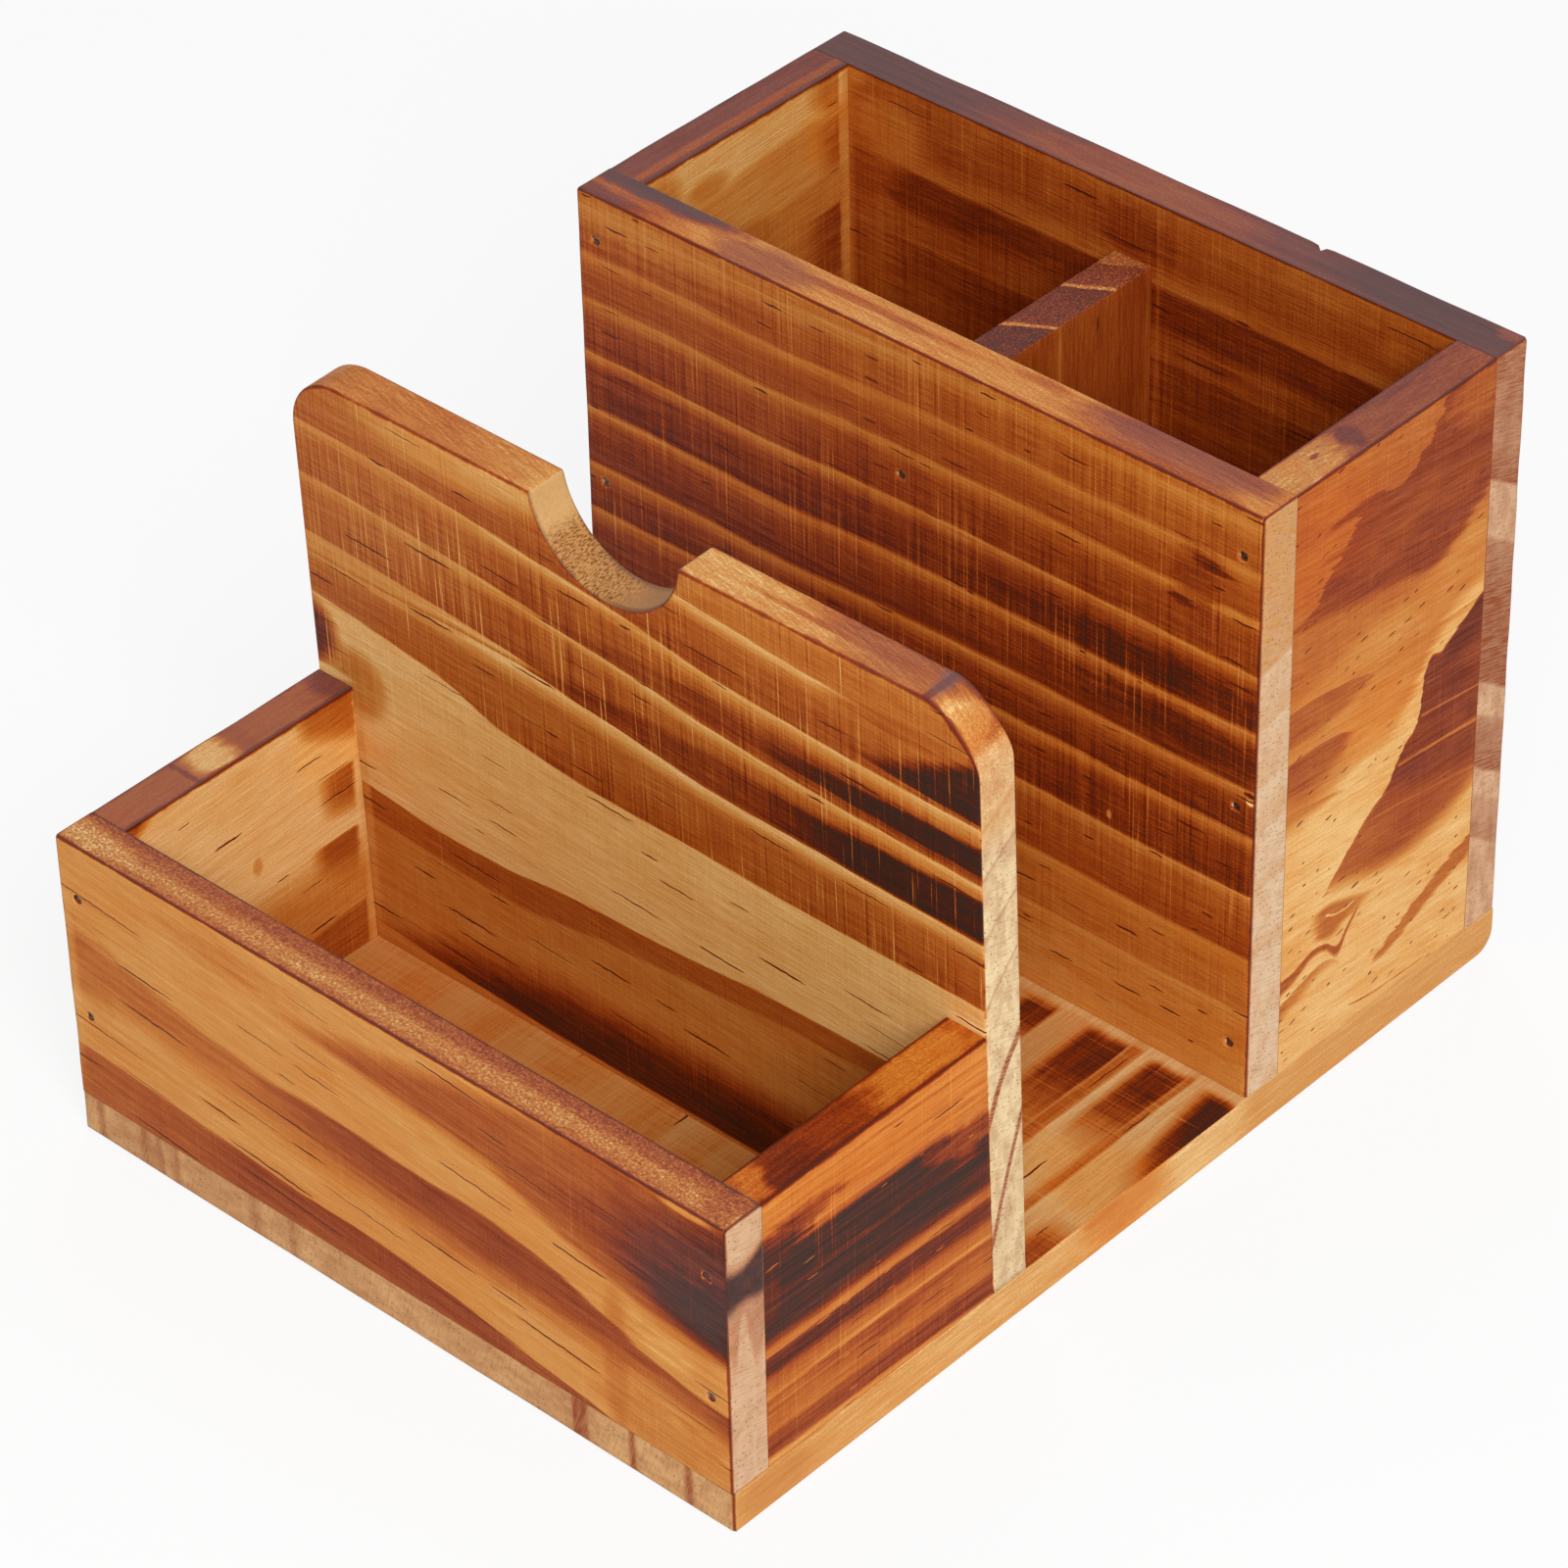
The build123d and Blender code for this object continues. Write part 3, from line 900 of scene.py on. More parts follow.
# Tray front: three sweeping brown figures on honey, charred at the upper right
trayFrontForm = {
    "size": ((-90, 90), (-117.5, -107.5), (10, 76)),
    "rounding": outerRounding("front"),
    "burnt": [("back", "top")],
    "brads": {"front": [(x, z) for x in (-85, 85) for z in (32, 62)]},
    "seed": 21,
}
trayFrontLook = {
    "faceAt": -117.5, "seed": 1.0, "slope": 0.09, "rise": 0.6, "wave": 1.5, "reach": 11.0,
    "bands": [
        band(
            0.46, [(-90, 24), (-60, 22), (-35, 20.3), (-10, 19.6), (15, 17.4), (35, 14), (60, 10), (90, 5)],
            2, (0.8, 1.0), fray=0.3,
        ),
        band(
            0.58, [(-90, 22), (-60, 21), (-35, 20), (-10, 19.3), (15, 17.2), (35, 13.8), (60, 10), (90, 5)],
            [(-90, 16), (-60, 8), (0, 6), (90, 0)], (0.6, 7.0), start=(-75, 45), fray=0.3,
        ),
        band(
            0.4,
            [
                (-90, 55), (-60, 50.5), (-40, 46.8), (0, 44.5), (25, 44), (40, 42), (50, 39), (60, 36),
                (75, 31.5), (90, 29.5),
            ],
            [(-90, 35), (-60, 33), (-30, 28), (0, 24), (20, 22), (58, 21), (90, 18)], (3.5, 12.0),
            amount=0.95,
        ),
        band(
            0.6,
            [
                (-45, 44), (-20, 45.2), (10, 44.2), (25, 44), (40, 42), (50, 39), (60, 36), (75, 31.5),
                (90, 29.5),
            ],
            [(-45, 42), (-20, 34), (10, 29), (30, 27), (60, 26), (90, 20)], (1.2, 9.0), start=(-62, 50),
            fray=0.5, amount=0.95,
        ),
        band(
            0.47, [(-40, 64), (-10, 69), (20, 75), (50, 80), (90, 82)],
            [(-40, 63), (-10, 59.5), (20, 56.5), (45, 49), (60, 44.5), (75, 41), (90, 40)], (7.0, 4.0),
        ),
        band(
            0.6, [(30, 66), (90, 73)], [(30, 58), (60, 50), (90, 43)], (7.0, 7.0), start=(15, 40),
            amount=0.8,
        ),
        band(
            0.97, [(50, 66), (65, 71), (80, 77), (90, 80)], [(50, 53), (65, 46.5), (80, 42.5), (90, 41)],
            (13.0, 6.0), start=(54, 30), fray=0.5,
        ),
    ],
    "patches": [
        (-42, 68.5, 26, 5, 0.32, 0.6), (72, 16, 24, 9, 0.3, 0.7), (-84, 46, 16, 13, 0.36, 0.6),
        (78, 66, 24, 11, 0.66, 0.6), (-86, 50, 20, 6, 0.36, 0.5),
    ],
    "margins": [
        (60.5, 27, 4.2, 27, 0.5, 0.3), (74, 37, 10, 5, 0.1, 0.55), (66, 41, 2.6, 3, 0.1, 0.4),
        (80, 75, 9, 1.6, 0.12, 0.8), (-90, 42, 4, 40, 0.12, 0.6),
    ],
    "brush": 0.15, "brushLines": 0.06, "dashes": (27.0, 5.6, 11.0, 0.26, 0.45, 0.08),
    "smokePatches": [(80, 58, 24, 15, 0.15, 1.0)], "edgeTone": 0.37, "edgeSmokeAndSheen": 0.26, "edgeSpeck": 0.7,
    "edgePatches": [
        (0, 3.6, 300, 2.6, 0.19, 0.7), (0, 8.8, 300, 3.2, 0.52, 0.8), (-84, 4, 14, 5, 0.14, 0.7),
        (84, 5, 6, 8, 0.5, 0.6),
    ],
    "endPale": (214, 176, 140), "endLine": (190, 138, 96),
    "endStops": [(0, 0.0), (22, 0.1), (23, 0.5), (25, 0.1), (44, 0.1), (45, 0.5), (48, 0.1), (80, 0.2)],
    "endTone": 0.97,
    "endBands": [
        band(1.0, [(0, 68), (5, 68), (10, 71)], [(0, 48), (4, 50), (10, 49)], (5.0, 7.0)),
        band(0.52, 57, [(0, 42), (2, 36), (3.4, 46), (4.6, 49), (6, 40), (8, 34), (10, 40)], (5.0, 9.0)),
    ],
}
makeBoard("trayFront", "tray_front", trayFrontForm, boardFinish("trayFrontPine", trayFrontLook))

backrestLean = 1.8  # degrees towards the tray
traySide = {"front": -107.5, "back": -42.5, "foot": 10}


# Leans the back end of a tray side: the pull towards the front grows with height and depth
def leanBackEnd(points):
    share = (points[:, 1] - traySide["front"]) / (traySide["back"] - traySide["front"])
    pulled = points.copy()
    pulled[:, 1] -= (points[:, 2] - traySide["foot"]) * math.tan(math.radians(backrestLean)) * share
    return pulled


# Tray sides: the left one is honey inside, the right one has charred stripes outside
trayLeftForm = {
    "size": ((-90, -80), (-107.5, -42.5), (10, 76)),
    "rounding": {("left", "top"): arrisRadius},
    "burnt": [("right", "top")],
    "shape": leanBackEnd,
    "seed": 31,
}
trayLeftLook = {
    **sideGrain, "faceAt": -80.0, "pale": 0.075, "seed": 7.0, "rise": 0.4, "slope": -0.05, "reach": 2.0,
    "brush": 0.2,
    "bands": [
        # The first band, darker below 43 mm, and the last, dark low at the back, are partly painted shade
        # inside the tray and partly browner wood
        band(0.28, 43, -20, (16.0, 1.0)),
        band(
            0.36, 90, [(-62, 70), (-50, 64), (-44, 62)], (1.0, 6.0), start=(-62, 5), end=(-44.3, 1.2),
            fray=0.4,
        ),
        band(
            0.42, [(-60, 57.6), (-44, 58.4)], [(-60, 47), (-44, 43)], (0.7, 8.0), start=(-57, 6),
            end=(-45.4, 1.6), fray=0.4,
        ),
        band(
            0.48, [(-62, 41.4), (-44, 42)], [(-60, 31), (-44, 27)], (0.7, 9.0), start=(-60, 6),
            end=(-45.4, 1.6), fray=0.4,
        ),
        band(0.5, [(-66, 20), (-44, 22.5)], 0, (1.5, 1.0), start=(-72, 16), end=(-44.6, 1.0), fray=0.0),
    ],
    "margins": [
        (-108, 77, 9, 6, 0.55, 0.9), (-74, 47, 1.8, 3.0, 0.34, 0.4), (-43, 45, 2.4, 80, 0.14, 0.6),
        (-107, 40, 2.4, 60, 0.3, 0.5),
    ],
    "dashes": (24.0, 6.0, 4.0, 0.28, 0.4, -0.05),
    "warmPatches": [(-50, 66, 18, 16, 0.7, 0.7), (-108, 76, 9, 8, 0.8, 0.9)],
    "edgeTone": 0.42, "edgeSmokeAndSheen": 0.4,
    # At -80 the top edge's pale patch, with less grey over it, is a painted highlight
    "edgePatches": [
        (-80, 5, 7, 12, 0.08, 1.0), (-87, 5, 1.0, 12, 0.75, 0.6), (-46, 5, 6, 12, 0.8, 0.6),
        (-72, 5, 3, 12, 0.5, 0.5),
    ],
    "edgeSmokeAndSheenPatches": [(-80, 5, 7, 12, 0.22, 0.8)], "edgeSpeck": 0.1, "scorchWidth": 1.2,
}
makeBoard("traySideLeft", "tray_side_left", trayLeftForm, boardFinish("trayLeftPine", trayLeftLook))

trayRightForm = {
    "size": ((80, 90), (-107.5, -42.5), (10, 76)),
    "rounding": {("right", "top"): arrisRadius},
    "burnt": [("left", "top")],
    "shape": leanBackEnd,
    "seed": 41,
}
trayRightLook = {
    **sideGrain, "faceAt": 90.0, "pale": 0.22, "seed": 9.0, "rise": 0.25, "slope": 0.03, "reach": 8.0,
    "burnDepth": 6.0, "warmth": 0.3, "streak": 0.4, "brush": 0.35,
    "stops": [
        (8, 0.2), (11.2, 0.22), (12, 0.64), (16.5, 0.58), (17.5, 0.38), (21, 0.4), (25.8, 0.52),
        (26.7, 0.2), (28.0, 0.36), (31.3, 0.5), (32.6, 0.8), (36.4, 0.8), (37.3, 0.3), (38.6, 0.34),
        (40, 0.62), (42, 0.95), (49.3, 0.98), (50.0, 0.78), (50.6, 0.86), (52, 0.95), (59.2, 0.95),
        (60.4, 0.45), (62, 0.31), (72.1, 0.27), (72.5, 0.42), (72.9, 0.26), (80, 0.32),
    ],
    "bend": [(-108, 0.6), (-90, 0.4), (-70, 0), (-55, -0.6), (-42, -1.2)],
    "patches": [
        (-48, 56, 19, 6.0, 0.56, 0.85), (-44, 61.5, 21, 4.4, 0.28, 0.95), (-107, 63, 16, 5, 0.95, 0.95),
        (-98, 66, 16, 3.5, 0.66, 0.6), (-47, 44, 9, 3.5, 0.72, 0.6), (-48, 36, 12, 3, 0.6, 0.4),
        (-100, 27, 10, 6, 0.36, 0.5), (-72, 23, 9, 3, 0.62, 0.6),
    ],
    "margins": [(-106, 51, 4.5, 9, 0.8, 0.8), (-51, 50.5, 5, 2.6, 0.56, 0.4)],
    "dashes": (18.0, 5.0, 3.5, 0.25, 0.4, 0.0), "chips": (13.0, 4.5, 1.5, 0.24, 0.26, 0.0),
    "warmPatches": [(-72, 70, 60, 14, 0.8, 0.9)], "edgeTone": 0.3, "edgeSmokeAndSheen": 0.0,
    "edgePatches": [
        (-92, 5, 27, 18, 0.7, 0.95), (-97, 2, 12, 9, 0.86, 0.6), (-46, 5, 4, 9, 0.5, 0.6),
        (-104, 5, 5, 8, 0.34, 0.8),
    ],
    "scorchWidth": 1.1,
}
makeBoard("traySideRight", "tray_side_right", trayRightForm, boardFinish("trayRightPine", trayRightLook))

# Caddy front: close brown rings with pale lines under each, brushed up and down
caddyFrontForm = {
    "size": ((-90, 90), (35.5, 45.5), (10, 153)),
    "rounding": outerRounding("front"),
    "brads": {"front": caddyBrads},
    "seed": 51,
}
caddyFrontLook = {
    "faceAt": 35.5, "pale": 0.23, "seed": 13.0, "rise": 0.2, "wave": 0.8, "warmth": 0.35,
    "rings": [
        (17, 0.36), (31, 0.39), (45, 0.54), (61, 0.71), (75.5, 0.72), (87, 0.72), (101.3, 0.74),
        (115.3, 0.62), (128.4, 0.53), (139.4, 0.47), (150.6, 0.34),
    ],
    "bend": [(-90, -1.2), (-60, -1.0), (-40, -1.6), (-10, -0.2), (20, 0.4), (60, 0.2), (90, 0.6)],
    "patches": [
        (58, 106.5, 48, 5, 0.86, 0.7), (72, 94, 34, 6, 0.86, 0.65), (-75, 148, 40, 5, 0.24, 0.7),
        (74, 132, 8, 11, 0.72, 0.5), (76, 136, 6, 1.8, 0.85, 0.6), (70, 125, 4, 1.6, 0.85, 0.6),
        # The last patch, pale low on the right, is painted light where the backrest shades the slot
        (-40, 64, 60, 12, 0.56, 0.3), (60, 20, 60, 11, 0.2, 0.6),
    ],
    "margins": [
        (88.6, 84.6, 1.5, 1.1, 0.02, 1.0), (88.6, 86.4, 2.0, 0.8, 0.95, 0.9), (53, 64, 0.9, 1.6, 0.05, 0.7),
    ],
    "brush": 0.42, "brushLines": 0.46, "brushFrom": (20, 66), "speck": 0.2,
    "dashes": (15.0, 5.0, 3.0, 0.28, 0.45, 0.0), "edgeTone": 0.23, "edgeSmokeAndSheen": 0.16, "edgeScratch": 0.3,
    "edgePatches": [
        (-84, 5, 30, 12, 0.5, 0.7), (-78, 9, 34, 4.5, 0.9, 0.9), (-84, 1.5, 16, 3, 0.8, 0.6),
        (-18, 6, 34, 1.6, 0.55, 0.7), (64, 8, 34, 5, 0.7, 0.75), (62, 3, 30, 8, 0.5, 0.8),
        (28, 8, 9, 2, 0.5, 0.5), (-42, 3, 16, 8, 0.46, 0.7),
    ],
    "edgeSmokeAndSheenPatches": [
        (-42, 4, 17, 8, 0.45, 0.8), (-80, 9, 34, 5, 0.6, 0.9), (-86, 2, 14, 4, 0.5, 0.8),
        (64, 7, 34, 7, 0.45, 0.8),
    ],
    "endPale": (220, 188, 154), "endLine": (198, 138, 76),
    "endStops": [
        (8, 0.0), (45, 0.0), (45.6, 0.5), (50, 0.0), (61, 0.0), (61.6, 0.5), (66, 0.0), (75.5, 0.0),
        (76, 0.4), (87, 0.0), (87.6, 0.4), (101, 0.1), (101.6, 0.5), (115, 0.1), (115.6, 0.8), (128, 0.9),
        (155, 1.3),
    ],
}
makeBoard("caddyFront", "caddy_front", caddyFrontForm, boardFinish("caddyFrontPine", caddyFrontLook))

# Caddy sides: the right one has two jagged brown figures outside
caddyLeftForm = {
    "size": ((-90, -80), (45.5, 107.5), (10, 153)),
    "rounding": {("left", "top"): arrisRadius},
    "burnt": [("right", "top")],
    "seed": 61,
}
caddyLeftLook = {
    **sideGrain, "faceAt": -80.0, "pale": 0.12, "seed": 17.0, "rise": 0.4, "slope": -0.08, "reach": 2.0,
    "brush": 0.2,
    "bands": [
        # The first three bands step the inside face darker towards the bottom: painted shade inside the caddy
        band(0.24, [(45, 137), (60, 140), (80, 143), (107, 145)], -20, (2.0, 1.0)),
        band(0.32, [(45, 120), (70, 125), (90, 128), (107, 130)], -20, (1.5, 1.0)),
        band(0.4, [(45, 98), (107, 106)], -20, (1.5, 1.0)),
        band(0.34, 170, [(90, 147), (106, 141)], (1.0, 4.0), start=(93, 8), end=(104.8, 0.8), fray=0.3),
        band(0.46, [(90, 141), (106, 143)], 126, (1.0, 6.0), start=(96, 8), end=(104.8, 0.8), fray=0.3),
        band(0.6, [(80, 119), (106, 121.5)], 98, (1.0, 9.0), start=(90, 12), end=(104.8, 0.8), fray=0.3),
    ],
    "margins": [
        (50, 146, 8, 8, 0.34, 0.6), (107, 100, 2.6, 90, 0.24, 0.6), (64, 143, 8, 4, 0.42, 0.5),
        (102.5, 142, 4, 5, 0.26, 0.5), (55, 95, 8, 6, 0.34, 0.4), (76, 125, 11, 5, 0.42, 0.6),
    ],
    "dashes": (24.0, 8.0, 3.0, 0.28, 0.3, 0.0), "warmPatches": [(100, 140, 10, 14, 0.8, 0.8)],
    "edgeTone": 0.66, "edgeSmokeAndSheen": 0.42, "edgePatches": [(76, 2.5, 60, 1.8, 0.4, 0.75)],
    "edgeSmokeAndSheenPatches": [(76, 2.5, 60, 1.8, 0.25, 0.8)], "scorchWidth": 1.2,
}
makeBoard("caddySideLeft", "caddy_side_left", caddyLeftForm, boardFinish("caddyLeftPine", caddyLeftLook))

caddyRightForm = {
    "size": ((80, 90), (45.5, 107.5), (10, 153)),
    "rounding": {("right", "top"): arrisRadius},
    "burnt": [("left", "top")],
    "seed": 71,
}
caddyRightLook = {
    **sideGrain, "faceAt": 90.0, "pale": 0.11, "seed": 19.0, "rise": 0.25, "slope": 0.1, "reach": 4.5,
    "wave": 1.4, "burnDepth": 8.0, "warmth": 0.1, "streak": 0.14, "fine": 0.34, "patch": 0.3, "brush": 0.12,
    "bands": [
        band(0.27, 180, [(45, 69), (60, 72), (74, 76), (84, 80), (92, 91), (107, 99)], (1.0, 6.0)),
        band(0.4, 180, [(45, 101), (80, 106), (107, 114)], (1.0, 9.0)),
        band(
            0.6,
            [
                (45, 121.5), (52, 123), (58, 130), (64, 136), (67, 140), (80, 139), (88, 146), (94, 154),
                (107, 162),
            ],
            [(45, 119), (58, 117), (80, 114), (90, 111.5), (97, 114), (104, 119), (108, 123)], (0.6, 3.0),
        ),
        band(
            0.5, [(45, 101.8), (60, 100.5), (72, 97)], [(45, 90.5), (60, 91), (72, 95)], (0.6, 4.0),
            fray=0.5, amount=0.85,
        ),
        band(
            0.52, [(45, 89), (60, 88), (67, 85.5)], [(45, 76), (60, 77), (67, 84)], (0.6, 7.0), fray=0.5,
            amount=0.9,
        ),
        band(
            0.36, [(45, 77), (60, 74), (66, 72)], [(45, 73), (60, 72), (66, 71.5)], (0.6, 2.0), amount=0.8,
        ),
        band(
            0.5,
            [
                (58, 47.5), (61, 51), (66, 56), (72, 61), (79, 66), (80.5, 69), (84, 73), (88, 78),
                (88.8, 86), (95, 90), (107, 97.5),
            ],
            [(58, 47), (65, 45), (80, 41), (95, 42), (108, 47)], (0.4, 7.0), fray=0.2,
        ),
        band(
            0.66,
            [
                (58, 49), (66, 55), (72, 60), (79, 65), (80.5, 68.6), (84, 72.6), (88, 78), (88.8, 85.6),
                (95, 89.6), (107, 97),
            ],
            [(58, 49), (79, 58), (90, 56), (108, 52)], (0.5, 9.0), fray=0.2,
        ),
        band(
            0.8, [(84, 84), (108, 98)], [(84, 80), (108, 86)], (1.0, 4.0), start=(92, 8), fray=0.2,
            amount=0.7,
        ),
        band(
            0.4, [(82, 85.0), (107, 82.4)], [(82, 84.4), (107, 81.8)], (0.3, 0.3), start=(89, 1), fray=0.0,
            amount=0.8,
        ),
        band(
            0.32, [(82, 77.8), (107, 74.8)], [(82, 76.8), (107, 73.8)], (0.4, 0.4), start=(88, 1), fray=0.0,
            amount=0.8,
        ),
        band(
            0.3, [(80, 69.2), (107, 65.6)], [(80, 68.0), (107, 64.2)], (0.4, 0.4), start=(81, 1), fray=0.0,
            amount=0.8,
        ),
        band(
            0.3, [(70, 60.4), (107, 53.6)], [(70, 59.6), (107, 52.6)], (0.4, 0.4), start=(73, 3), fray=0.0,
            amount=0.6,
        ),
        band(
            0.48, [(45, 34), (50, 34.6), (56, 36.4), (60, 35.6), (64, 33), (67, 36.5), (72, 41)],
            [(45, 29.6), (50, 31), (56, 33.6), (60, 32.8), (64, 29.4), (67, 34), (72, 39.6)], (0.5, 1.6),
            end=(72, 3), fray=0.0,
        ),
        band(
            0.38, [(45, 28), (52, 30), (60, 31), (66, 27.4)], [(45, 22), (52, 25), (60, 28), (66, 26.6)],
            (0.5, 4), end=(66, 2), fray=0.0, amount=0.9,
        ),
        band(
            0.42, [(54, 45), (60, 45.6), (66, 44), (78, 40)], [(54, 41), (60, 35.5), (66, 37), (78, 39)],
            (1.6, 3.0), start=(54, 5), end=(77, 9), fray=0.5, amount=0.9,
        ),
        band(
            0.1, [(60, 43.2), (64, 41.6), (70, 42)], [(60, 42.4), (64, 40.8), (70, 41.2)], (0.3, 0.3),
            start=(59, 1), end=(70, 2), fray=0.0,
        ),
        band(
            0.42, [(72, 20.6), (80, 24), (95, 31), (108, 36)],
            [(72, 20.6), (80, 20.4), (92, 24.5), (108, 30)], (0.8, 1.4), start=(73, 5), amount=0.85,
        ),
        band(
            0.45, [(68, 14.6), (80, 12.6), (95, 11.6)], [(68, 14), (80, 12), (95, 11)], (0.3, 0.3),
            start=(68, 2), end=(95, 6), fray=0.0,
        ),
    ],
    "patches": [
        (64, 139.8, 10, 1.7, 0.6, 1.0), (58, 132, 8, 1.2, 0.5, 0.8), (102, 148, 12, 9, 0.42, 0.75),
        (74, 79.5, 11, 4.5, 0.2, 0.9),
    ],
    "dashes": (4.6, 2.8, 0.9, 0.25, 0.3, -0.2), "dashTone": 0.8,
    "warmPatches": [(52, 138, 26, 22, 0.9, 0.95), (74, 86, 17, 12, 0.7, 0.9)],
    "edgeTone": 0.56, "edgeSmokeAndSheen": 0.32, "edgeScratch": 0.3,
    "edgePatches": [
        (52, 5, 17, 14, 0.17, 0.95), (57, 6, 1.6, 1.0, 0.8, 0.7), (68, 5, 3.4, 6, 0.82, 0.8),
        (86, 9, 16, 3, 0.75, 0.5),
    ],
    "edgeSmokeAndSheenPatches": [(52, 5, 17, 14, 0.28, 0.9)],
}
makeBoard("caddySideRight", "caddy_side_right", caddyRightForm, boardFinish("caddyRightPine", caddyRightLook))

# Small knock in the caddy back's top arris, pressed in and down
knock = {"middle": (39.0, 117.5, 153.0), "size": (0.8, 1.7, 1.5), "way": (0.0, 0.9, 1.0), "depth": 1.1}


def dentArris(points):
    away = (points - np.array(knock["middle"])) / np.array(knock["size"])
    press = knock["depth"] * np.exp(-(away**2).sum(axis=1))
    return points - press[:, None] * np.array(knock["way"])


# Caddy back: dark red brown inside, with two near-black rings
caddyBackForm = {
    "size": ((-90, 90), (107.5, 117.5), (10, 153)),
    "rounding": outerRounding("back"),
    "burnt": [("front", "top")],
    "brads": {"back": caddyBrads},
    "lines": {0: [37.8, 38.4, 39.0, 39.6, 40.2], 1: [115.2, 116.0], 2: [151.6]},
    "shape": dentArris,
    "seed": 81,
}
caddyBackLook = {
    "faceAt": 107.5, "pale": 0.45, "seed": 23.0, "rise": -0.7, "wave": 0.8, "warmth": 0.4,
    "stops": [
        (-6, 0.45), (14, 0.5), (15, 0.38), (30, 0.52), (31, 0.38), (47, 0.56), (48, 0.42), (62, 0.6),
        (63, 0.46), (78, 0.64), (79, 0.5), (90, 0.6), (104, 0.58), (108, 0.66), (115.5, 0.66),
        (116.3, 0.52), (120.5, 0.58), (121.2, 0.52), (125, 0.7), (133, 0.7), (133.7, 0.38), (135.2, 0.42),
        (140, 0.54), (147, 0.5), (152, 0.42), (160, 0.42),
    ],
    "patches": [
        (-76, 112, 13, 60, 0.48, 0.7), (-2, 143, 14, 9, 0.72, 0.6), (40, 150, 30, 5, 0.38, 0.5),
        (-50, 149, 40, 5, 0.58, 0.4),
    ],
    "margins": [
        (-81, 110, 3.0, 90, 0.24, 0.55), (4.6, 80, 1.2, 90, 0.36, 0.6), (-79, 152, 6, 5, 0.3, 0.7),
        (-69, 141, 14, 11, 0.3, 0.7), (68, 143, 11, 5, 0.42, 0.65), (34, 72, 12, 5, 0.68, 0.6),
    ],
    "brush": 0.22, "brushLines": 0.26, "speck": 0.18, "dashes": (26.0, 7.0, 7.0, 0.35, 0.4, 0.0),
    "edgeTone": 0.7, "edgeSmokeAndSheen": 0.55,
    "edgePatches": [
        (-76, 5, 40, 14, 0.88, 0.9), (-4, 3, 46, 9, 0.44, 0.8), (70, 6, 34, 9, 0.92, 0.85),
        (87, 8, 4, 3, 0.4, 0.7),
    ],
    "edgeSmokeAndSheenPatches": [(-4, 4, 46, 9, 0.42, 0.8)], "endPale": (216, 172, 134), "endLine": (146, 70, 30),
    "endStops": [
        (8, 0.0), (34, 0.1), (35, 0.6), (45, 0.3), (46, 0.0), (52, 0.0), (53, 0.9), (66, 0.5), (67, 0.0),
        (74, 0.1), (75, 1.2), (94, 0.9), (95, 1.2), (110, 0.6), (111, 0.1), (124, 0.1), (125, 1.0),
        (134, 0.6), (150, 0.8),
    ],
}
makeBoard("caddyBack", "caddy_back", caddyBackForm, boardFinish("caddyBackPine", caddyBackLook))

# Divider: grain upright, so its top is burnt end grain with two pale ring lines
dividerForm = {"size": ((-7, 3), (45.5, 107.5), (10, 137.5)), "least": 0.35, "seed": 91}
dividerLook = {
    "grain": 2, "across": 1, "through": 0, "faceAt": 3.0, "inward": -1.0, "pale": 0.53, "warmth": 0.05,
    "seed": 29.0, "rise": -0.55,
    "bands": [
        band(0.58, 106, 96.6, (1.2, 0.6)),
        band(0.36, 79.5, 77.6, (1.0, 0.5)),
    ],
    "dashes": (30.0, 9.0, 3.0, 0.25, 0.2, 0.0), "edgeTone": 0.62, "edgeSmokeAndSheen": 0.18, "edgeSpeck": 0.8,
    "edgeStops": [
        (40, 0.78), (76.2, 0.8), (76.7, 0.22), (77.6, 0.28), (78.2, 0.7), (95.2, 0.78), (95.7, 0.22),
        (96.6, 0.28), (97.2, 0.64), (106, 0.62), (107, 0.38), (112, 0.38),
    ],
    "endBurn": 1.0, "endTone": None, "scorchWidth": 0.6,
}
makeBoard("caddyDivider", "caddy_divider", dividerForm, boardFinish("dividerPine", dividerLook))

# Backrest: leans forward, round top corners, and a round notch for the fingers
backrestForm = {
    "foot": (0, -42.5, 10),
    "lean": backrestLean,
    "halfWidth": 90,
    "tall": 141,
    "thick": 10,
    "corner": 13.5,
    "sanded": 1.2,  # how far the right corner is worn inside its arc
    "notchMiddle": (-4.3, 143.5),
    "notchRadius": 19.5,
    "notchLip": 0.85,  # soft corner where the notch meets the top edge
    "arris": arrisRadius,
    "cornerBurn": 0.75,  # scorch reaches further in at the right corner
    "cornerReach": 12,
    "footArris": 0.2,
    "footBlend": 18,  # height over which the foot goes from level to square with the faces
    "evenRows": 95,  # rows of points are level up to here, then they lean to the outline
    "arrisTop": 127,  # the side arrises end here, where the corners begin
    "brads": [(x, v) for x in (-85, 85) for v in (22, 52)],
    "step": pointStep,
    "cornerPoints": 17,
    "lipPoints": 5,
    "notchPoints": 47,
    "leastTurn": 0.15,  # degrees between two points of a corner
    "upperRows": 30,
    "throughRings": 7,
    "sidePoints": 60,  # for the distance to the side arrises
}
darkFoot = [(-90, 86), (-65, 83), (-50, 80.5), (-40, 77), (-30, 75), (-15, 73.5), (0, 73), (90, 72.4)]
